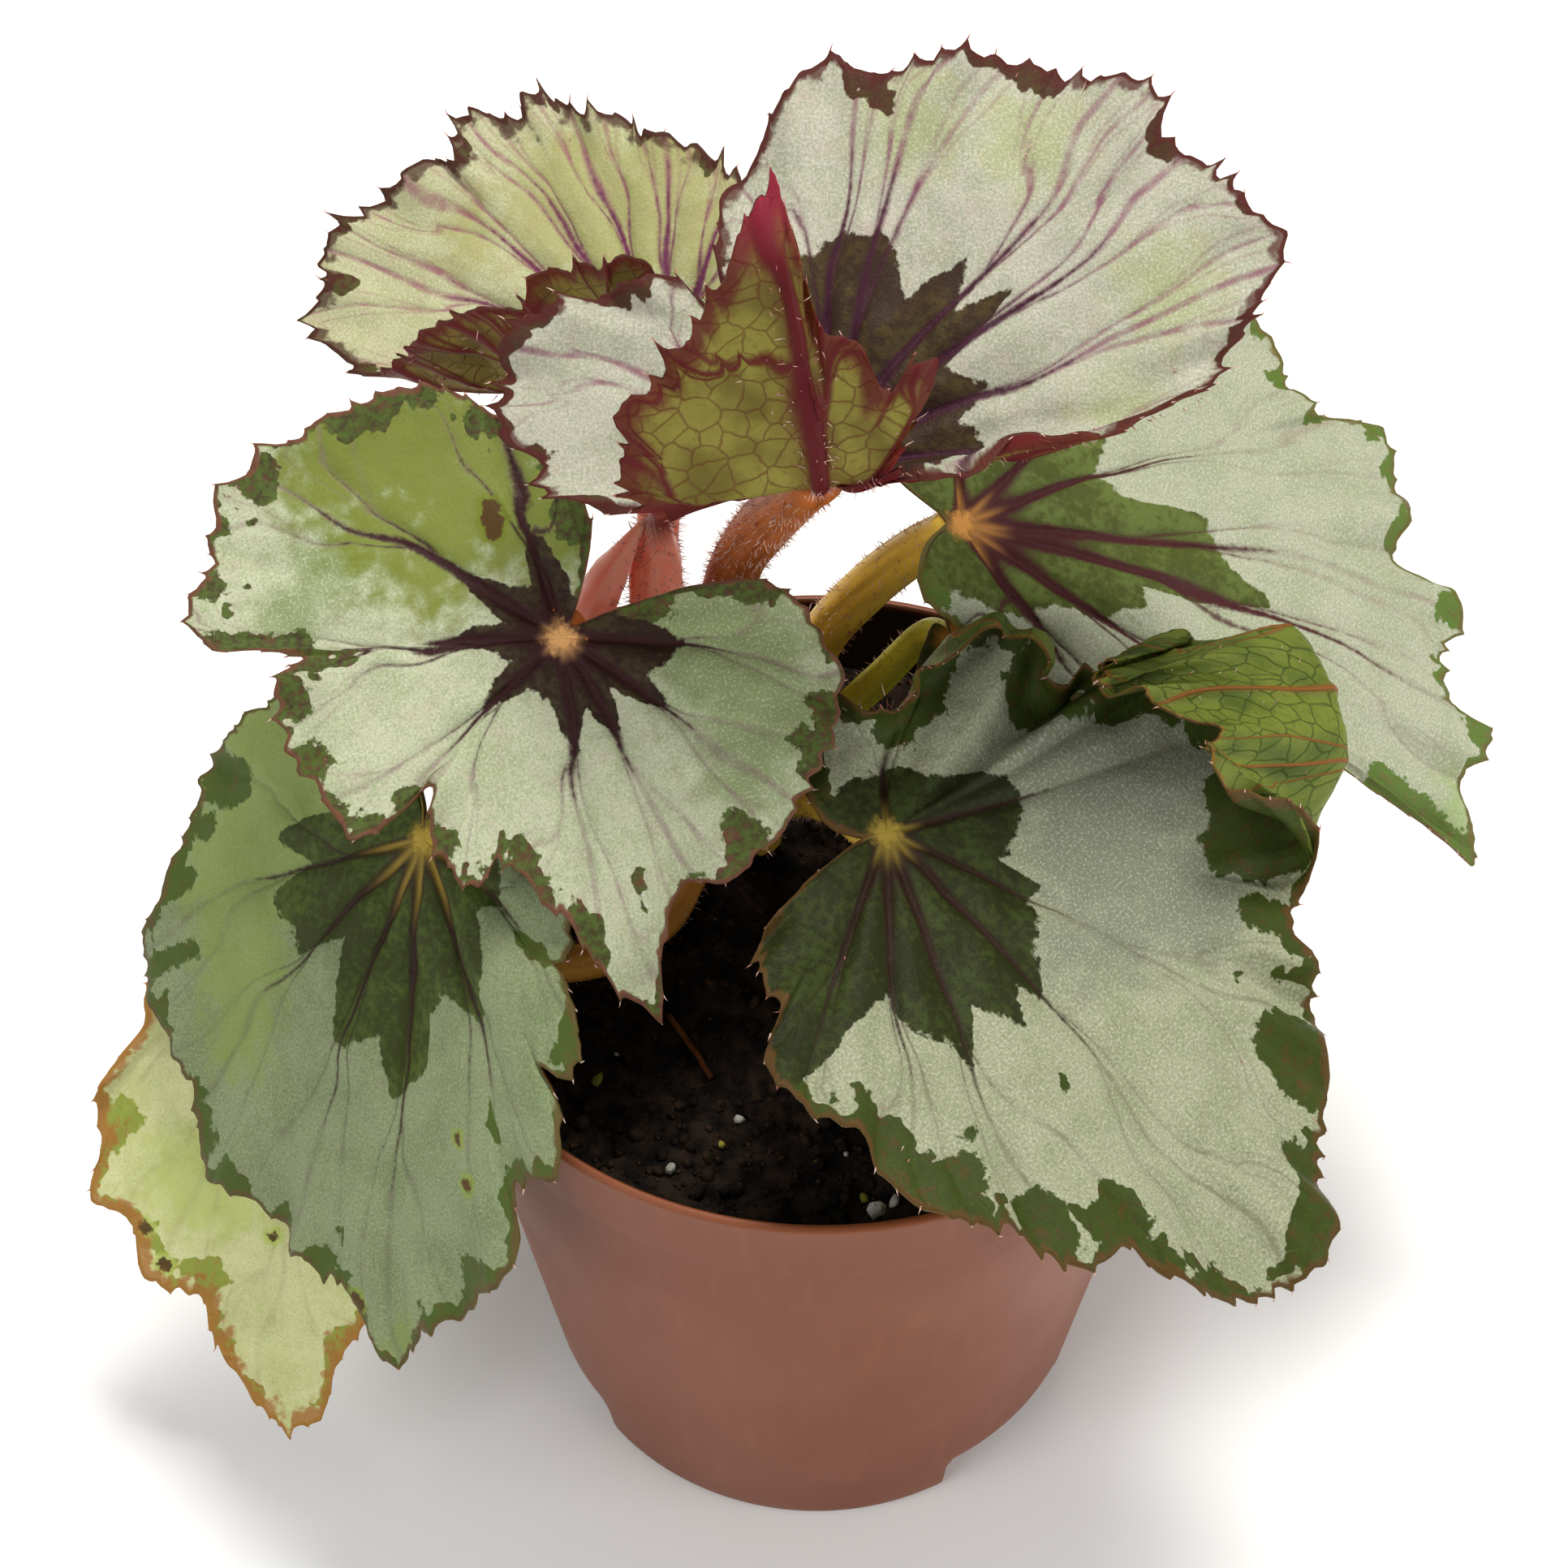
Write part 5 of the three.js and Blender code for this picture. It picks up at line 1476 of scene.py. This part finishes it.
def stalks() -> list[Stalk]:
    """The eight stalks and the young leaf, which is a rolled tube of its own."""
    return [
        Stalk("stalk_top", ((-14, 31, 92), (-13, 31, 112), (-11, 29, 128), (-7, 20, 146),
                            (-1.5, 7, 167)), (3.8, 3.2), RED, Slot.RED, "top",
              hairs=1500, hair_length=1.2, seed=31),
        Stalk("stalk_back_left", ((-23, 34, 90), (-22.5, 37, 108), (-20.5, 42, 130),
                                  (-18.5, 44.5, 144)), (3.1, 2.6), PINK, Slot.PINK,
              "back_left", hairs=900, seed=32),
        Stalk("stalk_left", ((-25, 24, 90), (-27, 22, 100), (-30, 15, 114),
                             (-32, 9.5, 128)), (3.3, 2.9), RED, Slot.RED, "left",
              hairs=600, seed=33),
        Stalk("stalk_front_left", ((-22, 16, 89), (-25, 13, 95), (-31, 8, 102),
                                   (-39, 1, 109)), (2.9, 2.5), OCHRE, Slot.OCHRE,
              "front_left", hairs=300, seed=34),
        Stalk("stalk_low_left", ((-16, 9, 90), (-17.5, 3, 95), (-20.5, -5.5, 97.5),
                                 (-28, -13, 100), (-38, -15.5, 102), (-48, -13.5, 102),
                                 (-57, -5, 99), (-64, 6, 94), (-69, 14, 87.5),
                                 (-71, 14, 80.5)), (2.4, 2.1), ORANGE, Slot.OCHRE,
              "low_left", hairs=500, hair_length=1.0, seed=35),
        Stalk("stalk_right", ((-3, 34, 90), (-1, 34, 105), (4, 33.5, 116),
                              (12, 32, 127.5)), (3.4, 3.0), OCHRE, Slot.OCHRE,
              "right", hairs=700, hair_length=1.1, seed=36),
        Stalk("stalk_front_right", ((-8, 15, 90), (-5, 13, 100), (1, 3, 112)),
              (2.9, 2.4), OCHRE, Slot.OCHRE, "front_right", hairs=400,
              hair_length=1.0, seed=37),
        Stalk("stalk_inner", ((0, 26, 89), (3, 30, 96.5), (9, 32, 104), (14.5, 33.5, 110)),
              (2.4, 2.0), GREEN, Slot.OCHRE, "inner", hairs=250, hair_length=1.0, seed=38),
        Stalk("young_leaf", ((-14, 21.5, 90), (-18, 25, 108), (-20.8, 27.5, 122),
                             (-20.9, 28.5, 131), (-20.3, 25, 143)),
              (2.3, 2.4, 3.0, 3.9, 3.3, 1.0), YOUNG, Slot.PINK, hairs=900,
              hair_length=1.6, seed=39),
        Stalk("young_stipule", ((-18, 24, 100), (-26.5, 27, 111), (-29.6, 28, 119),
                                (-28, 27.5, 126), (-25, 26.5, 134), (-22.5, 26.5, 139)),
              (1.4, 2.2, 3.2, 3.0, 2.4, 0.5), PINK, Slot.PINK, hairs=250,
              hair_length=1.2, foot_level=88.0, stands_for=False, seed=40),
    ]


# ------------------------------------------------------------------------- pot and soil

@dataclass(frozen=True)
class PotFinish:
    """Moulded matt polypropylene in terracotta brown, a soft broad sheen and no shine."""

    name: str = "terracotta brown polypropylene"
    colour: str = "#77432a"
    warm: str = "#6b3822"
    pale: str = "#895640"
    lip: str = "#783f1f"

    def ink(self) -> bpy.types.Material:
        """Faint clouds of 40 mm, faint upright flow marks of 2.5 mm and a worn lip.

        The skin's own grain of half a millimetre shows only in the bump.
        """
        ink = Ink(self.name)
        place = ink.add("TexCoord", out="Object")
        cloud = ink.add("TexNoise", place, sockets={"Scale": 25.0, "Detail": 3.0})
        flow = ink.add("TexNoise", ink.add("Mapping", place, sockets={
            "Scale": (400.0, 400.0, 12.0)}), sockets={"Scale": 1.0, "Detail": 3.0})
        skin = ink.add("TexNoise", place, sockets={"Scale": 2200.0, "Detail": 2.0})
        height = ink.add("SeparateXYZ", place, out=2)
        colour = ink.painted(
            self.colour, (self.warm, cloud, 0.35, 0.7, 0.0, 0.5),
            (self.pale, flow, 0.5, 0.8, 0.0, 0.25),
            (self.lip, height, 95.6 * MM, 96.6 * MM, 0.0, 0.9))
        return ink.finish(
            Base_Color=colour, IOR=1.49, Specular_IOR_Level=0.28,
            Roughness=ink.add("MapRange", cloud, 0.3, 0.7, 0.42, 0.52, **STEP),
            Normal=ink.add("Bump", sockets={
                "Strength": 0.25, "Distance": 0.05 * MM, "Height": skin}))


@dataclass
class Pot:
    """Round tapered nursery pot with a collar band and three drain recesses."""

    rim_radius: float = 52.5
    height: float = 97.0
    base_radius: float = 37.3
    wall: float = 1.3
    collar_height: float = 13.0
    collar_step: float = 0.9
    under_level: float = 0.9
    floor_level: float = 1.9
    sides: int = 288
    first_drain: float = -41.0
    drains: int = 3
    drain_width: float = 24.0
    drain_depth: float = 3.4
    drain_height: float = 8.5
    finish: PotFinish = PotFinish()
    # Painted shade: the inner wall is coloured near black where the inside of the pot lies in
    # shade.
    painted_shade_inside: PotFinish = PotFinish("polypropylene painted in shade", "#1f140e", "#2a1a12",
                                "#332118", "#4a2815")

    def wall_radius(self, z: Array) -> Array:
        """Outer radius below the collar, straight from the base to the collar's foot."""
        foot = self.height - self.collar_height
        top = self.rim_radius - self.collar_step - 1.3
        return self.base_radius + (top - self.base_radius) * z / foot

    def profile(self) -> Array:
        """Radius and height from the centre of the underside, up, over and down inside."""
        foot = self.height - self.collar_height
        base, under, floor = self.base_radius, self.under_level, self.floor_level
        rows = np.linspace(2.2, foot - 0.6, 46)
        outer = np.stack([self.wall_radius(rows), rows], -1)
        rows = np.linspace(foot - 1.0, 3.2, 30)
        inner = np.stack([self.wall_radius(rows) - self.wall - 0.1, rows], -1)
        turn, half = np.linspace(0.0, math.pi, 13), self.wall / 2
        lip = np.stack([self.rim_radius - half + half * np.cos(turn),
                        self.height - half + half * np.sin(turn)], -1)
        at_foot = float(self.wall_radius(foot))
        out = at_foot + self.collar_step
        rows = np.linspace(foot + 4.0, self.height - 1.6, 8)
        rise = (rows - foot) / self.collar_height
        band = np.stack([out + (self.rim_radius - out) * rise, rows], -1)
        inside = self.rim_radius - self.wall
        return np.concatenate([
            [(0.02, under), (14.0, under), (base - 4.2, under), (base - 3.4, 0.6),
             (base - 3.0, 0.0), (base - 1.5, 0.0), (base - 0.8, 0.15), (base - 0.25, 0.6),
             (base + 0.1, 1.3)],
            outer,
            [(at_foot, foot - 0.25), (at_foot + 0.12, foot - 0.02), (out - 0.15, foot + 0.55),
             (out, foot + 0.95), (out + 0.15, foot + 2.0)],
            band, lip,
            [(inside - 0.1, self.height - 3.0), (inside - 0.5, self.height - 8.0)],
            inner,
            [(base - self.wall - 1.6, floor + 0.1), (14.0, floor), (0.02, floor)]])

    def build(self) -> list[bpy.types.Object]:
        """Turns the profile round the upright axis, pressed in at each drain recess.

        At a recess the radius is less by the depth, times a smooth window across the
        recess's width and a smooth fall to nothing at its height.
        """
        profile = self.profile()
        rows, turn = len(profile), turns(self.sides)
        radius = np.repeat(profile[:, :1], self.sides, 1)
        height = np.repeat(profile[:, 1:], self.sides, 1)
        for k in range(self.drains):
            middle = self.first_drain + 360.0 / self.drains * k
            off = np.radians(signed(np.degrees(turn) - middle)) * self.base_radius
            window = smooth((self.drain_width / 2 - np.abs(off)) / 2.2 + 0.5)
            fall = smooth((self.drain_height - height) / 2.4)
            outer = radius > self.base_radius - 3.6
            radius = radius - self.drain_depth * window * fall * outer
        rings = np.stack([radius * np.cos(turn), radius * np.sin(turn), height], -1)
        # The faces of the inner wall take the painted shade material.
        inside = np.arange(rows - 1) >= int(np.argmax(profile[:, 1])) + 2
        painted_shade_inside = np.concatenate([np.repeat(inside, self.sides), np.zeros(self.sides),
                               np.ones(self.sides)])
        return [put_mesh("pot_shell", *closed_tube(rings),
                         (self.finish.ink(), self.painted_shade_inside.ink()), Slot.POT, "pot", painted_shade_inside)]


@dataclass(frozen=True)
class PeatFinish:
    """Moist potting peat: near black, fibrous, with paler crumbs and no gloss."""

    name: str = "moist peat"
    dark: str = "#0d0b09"
    light: str = "#2b211a"
    fleck: str = "#4a3524"
    fleck_share: float = 0.4

    def ink(self) -> bpy.types.Material:
        """Dark to light by noise of 3 mm and 0.8 mm, with flecks of fibre."""
        ink = Ink(self.name)
        place = ink.add("TexCoord", out="Object")
        lumps = ink.add("TexNoise", place, sockets={"Scale": 330.0, "Detail": 6.0})
        fine = ink.add("TexNoise", place, sockets={"Scale": 1250.0, "Detail": 3.0})
        colour = ink.painted(self.dark, (self.light, lumps, 0.35, 0.7),
                             (self.fleck, fine, 0.6, 0.75, 0.0, self.fleck_share))
        return ink.finish(
            Base_Color=colour, Roughness=0.9, IOR=1.4, Specular_IOR_Level=0.12,
            Normal=ink.add("Bump", sockets={
                "Strength": 0.8, "Distance": 0.6 * MM, "Height": fine}))


@dataclass
class Soil:
    """Peat heaped in the pot, crumbs on it, and the odd bits that lie on top.

    bits are the white grit and the green-yellow seed husks where the photo has them: x, y
    and radius in millimetres. twig is the brown twig's line, as x, y and height above
    the peat.
    """

    level: float = 87.0
    mound: float = 1.6
    bumps: Points = ((0.9, 14.0), (0.75, 5.0), (0.55, 2.1), (0.30, 1.0))
    floor: float = 2.2
    top_radius: float = 48.0
    bottom_radius: float = 34.5
    rings: int = 84
    sides: int = 300
    crumbs: int = 2200
    grit: Points = ((-19.0, -37.2, 1.2), (7.0, -43.3, 1.5), (-10.4, -29.6, 0.8),
                    (9.2, -42.6, 0.9), (-26.2, -19.5, 0.5), (3.2, -35.5, 0.6))
    husks: Points = ((-28.6, -23.8, 1.3), (5.4, -41.2, 1.0), (-12.5, -34, 0.6))
    twig: Points = ((-19.6, -14.4, 0.5), (-17.0, -19, 0.9), (-13.9, -23.8, 0.3))
    twig_radius: float = 0.4
    seed: int = 11

    def height(self, x: Array, y: Array) -> Array:
        """Level plus a shallow mound, plus noise of 14, 5, 2 and 1 mm lumps."""
        share = np.hypot(x, y) / self.top_radius
        lumps = sum(high * value_noise(x, y, size, self.seed + k)
                    for k, (high, size) in enumerate(self.bumps))
        return self.level + self.mound * (1 - share ** 2) + lumps

    def build_heap(self) -> bpy.types.Object:
        """The heap: a polar grid of heights, closed by the tapered side and the floor."""
        share = np.linspace(0.0, 1.0, self.rings + 1)[1:, None]
        turn = turns(self.sides)
        x, y = self.top_radius * share * np.cos(turn), self.top_radius * share * np.sin(turn)
        top = np.stack([x, y, self.height(x, y)], -1).reshape(-1, 3)
        foot = np.stack([self.bottom_radius * np.cos(turn), self.bottom_radius * np.sin(turn),
                         np.full(self.sides, self.floor)], -1)
        crown = float(self.height(np.zeros(1), np.zeros(1))[0])
        points = np.concatenate([top, foot, [(0, 0, crown), (0, 0, self.floor)]])
        last = self.rings * self.sides
        hub = last + self.sides
        tris = np.concatenate([fan(hub, 0, self.sides), fan(hub + 1, last, self.sides, True)])
        return put_mesh("soil_heap", points, grid_faces(self.rings + 1, self.sides), tris,
                        (PeatFinish().ink(),), Slot.SOIL, "soil")

    def lumps(self, name: str, places: Array, sizes: Array, finish: PeatFinish,
              seed: int) -> bpy.types.Object:
        """Small stones and crumbs: twenty-sided solids, stretched and dented by seed.

        Args:
            name: the piece's name.
            places: centres, one row each.
            sizes: their radii.
            finish: what they are of.
            seed: for the shapes.

        Returns:
            The piece that holds them all.
        """
        g = (1 + math.sqrt(5)) / 2
        ball = unit(np.array([
            (-1, g, 0), (1, g, 0), (-1, -g, 0), (1, -g, 0), (0, -1, g), (0, 1, g),
            (0, -1, -g), (0, 1, -g), (g, 0, -1), (g, 0, 1), (-g, 0, -1), (-g, 0, 1)], float))
        sides = np.array([
            (0, 11, 5), (0, 5, 1), (0, 1, 7), (0, 7, 10), (0, 10, 11), (1, 5, 9), (5, 11, 4),
            (11, 10, 2), (10, 7, 6), (7, 1, 8), (3, 9, 4), (3, 4, 2), (3, 2, 6), (3, 6, 8),
            (3, 8, 9), (4, 9, 5), (2, 4, 11), (6, 2, 10), (8, 6, 7), (9, 8, 1)])
        random = np.random.default_rng(seed)
        count = len(places)
        axes = np.linalg.qr(random.normal(size=(count, 3, 3)))[0]
        stretch = random.uniform(0.55, 1.25, (count, 1, 3))
        dents = random.uniform(0.75, 1.2, (count, len(ball), 1))
        points = places[:, None] + (ball * dents * stretch) @ axes * sizes[:, None, None]
        faces = (np.arange(count)[:, None, None] * len(ball) + sides).reshape(-1, 3)
        return put_mesh(name, points.reshape(-1, 3), NO_FACES, faces, (finish.ink(),),
                        Slot.SOIL)

    def build_crumbs(self) -> bpy.types.Object:
        """Peat crumbs of 0.3 to 1.3 mm, half sunk, at seeded places."""
        random = np.random.default_rng(self.seed + 5)
        far = self.top_radius * 0.975 * np.sqrt(random.uniform(0.0, 1.0, self.crumbs))
        turn = random.uniform(0.0, 2 * math.pi, self.crumbs)
        x, y = far * np.cos(turn), far * np.sin(turn)
        sizes = 0.3 + 1.0 * random.uniform(0.0, 1.0, self.crumbs) ** 3
        places = np.stack([x, y, self.height(x, y) + sizes * 0.2], -1)
        finish = PeatFinish("peat crumbs", "#120e0b", "#33261c", "#6b4a2c", 0.7)
        return self.lumps("soil_crumbs", places, sizes, finish, self.seed + 6)

    def build_bits(self, name: str, places: Points, finish: PeatFinish) -> bpy.types.Object:
        """Single bits lying on the peat: x, y and radius in millimetres for each."""
        x, y, sizes = np.array(places).T
        places = np.stack([x, y, self.height(x, y) + sizes * 0.6], -1)
        return self.lumps(name, places, sizes, finish, self.seed + 9)

    def build_twig(self) -> bpy.types.Object:
        """One brown twig, an even eight-sided tube along its line."""
        line = catmull(np.array(self.twig), 24)
        line[:, 2] += self.height(line[:, 0], line[:, 1]) + 0.3
        _, across, other = carried_frame(line)
        rings = line[:, None] + spread(across, other, 8) * self.twig_radius
        finish = PeatFinish("dry twig bark", "#4a2812", "#744620", "#301a0c")
        return put_mesh("soil_twig", *closed_tube(rings), (finish.ink(),), Slot.SOIL)

    def build(self) -> list[bpy.types.Object]:
        """The heap with all that lies on it."""
        return [
            self.build_heap(),
            self.build_crumbs(),
            self.build_bits("soil_grit", self.grit, PeatFinish(
                "white perlite grit", "#96958a", "#bebdb2", "#77756a")),
            self.build_bits("soil_husks", self.husks, PeatFinish(
                "dry seed husk", "#7d7a30", "#a39a45", "#5d5a24")),
            self.build_twig(),
        ]


# ------------------------------------------------------------------------------- stage

@dataclass
class Studio:
    """Pale floor, soft light and the camera that took the picture.

    lamps are the square soft lights: name, place in metres, power, size and tint.
    """

    eye: tuple[float, float, float] = (-4.62, -324.96, 514.85)
    dip: float = 50.6
    focal: float = 5000.0 / 1932.0 * 36.0
    film: float = 36.0
    aim: tuple[float, float, float] = (0.0, 0.0, 0.12)
    lamps: tuple[tuple, ...] = (
        ("key", (0.1, 0.3, 1.35), 15.5, 0.4, (1.0, 0.98, 0.94)),
        ("fill", (-0.9, -0.8, 0.8), 8.0, 0.9, (1.0, 1.0, 1.0)),
        ("side", (1.0, -0.5, 0.3), 7.5, 0.8, (1.0, 1.0, 1.0)),
    )
    sky: tuple[float, float, float, float] = (0.98, 0.99, 1.0, 1.0)
    sky_strength: float = 0.42
    floor_size: float = 3000.0

    def build_camera(self) -> None:
        """Camera at the fitted place, looking along +Y and down by the dip."""
        lens = bpy.data.cameras.new("camera")
        lens.lens = self.focal
        lens.sensor_width = self.film
        lens.clip_start = 0.01
        seat = bpy.data.objects.new("camera", lens)
        seat.location = [v * MM for v in self.eye]
        seat.rotation_euler = (math.radians(90.0 - self.dip), 0.0, 0.0)
        bpy.context.scene.collection.objects.link(seat)
        bpy.context.scene.camera = seat

    def build_lamps(self) -> None:
        """The soft lights, each turned to the plant's middle."""
        for name, place, power, size, tint in self.lamps:
            light = bpy.data.lights.new(name, "AREA")
            light.energy, light.size, light.color = power, size, tint
            seat = bpy.data.objects.new(name, light)
            seat.location = place
            way = Vector(self.aim) - Vector(place)
            seat.rotation_euler = way.to_track_quat("-Z", "Y").to_euler()
            bpy.context.scene.collection.objects.link(seat)

    def build_floor(self) -> bpy.types.Object:
        """A plain pale floor, which is no part of the object."""
        ink = Ink("pale floor")
        grain = ink.add("TexNoise", ink.add("TexCoord", out="Object"), sockets={"Scale": 3.0})
        ink.finish(Base_Color=ink.painted("#f4f4f2", ("#f7f7f6", grain)), Roughness=0.9)
        s = self.floor_size
        points = np.array([(-s, -s, 0), (s, -s, 0), (s, s, 0), (-s, s, 0)])
        floor = put_mesh("floor", points, np.array([[0, 1, 2, 3]]), NO_FACES, (ink.material,))
        return floor

    def build(self) -> list[bpy.types.Object]:
        """Sets the light, floor, camera and the plain display transform."""
        scene = bpy.context.scene
        scene.world = bpy.data.worlds.new("studio")
        scene.world.use_nodes = True
        background = scene.world.node_tree.nodes["Background"]
        background.inputs["Color"].default_value = self.sky
        background.inputs["Strength"].default_value = self.sky_strength
        scene.view_settings.view_transform = "Standard"
        self.build_lamps()
        floor = self.build_floor()
        self.build_camera()
        return [floor]


def main() -> None:
    """Builds the studio, pot, soil, leaves and stalks in order, and reports each piece."""
    logging.basicConfig(level=logging.INFO, format="%(name)s: %(message)s")
    for part in (Studio(), Pot(), Soil(), *leaves(), *stalks()):
        for piece in part.build():
            LOG.info("%s: %d faces", piece.name, len(piece.data.polygons))


if __name__ == "__main__":
    main()
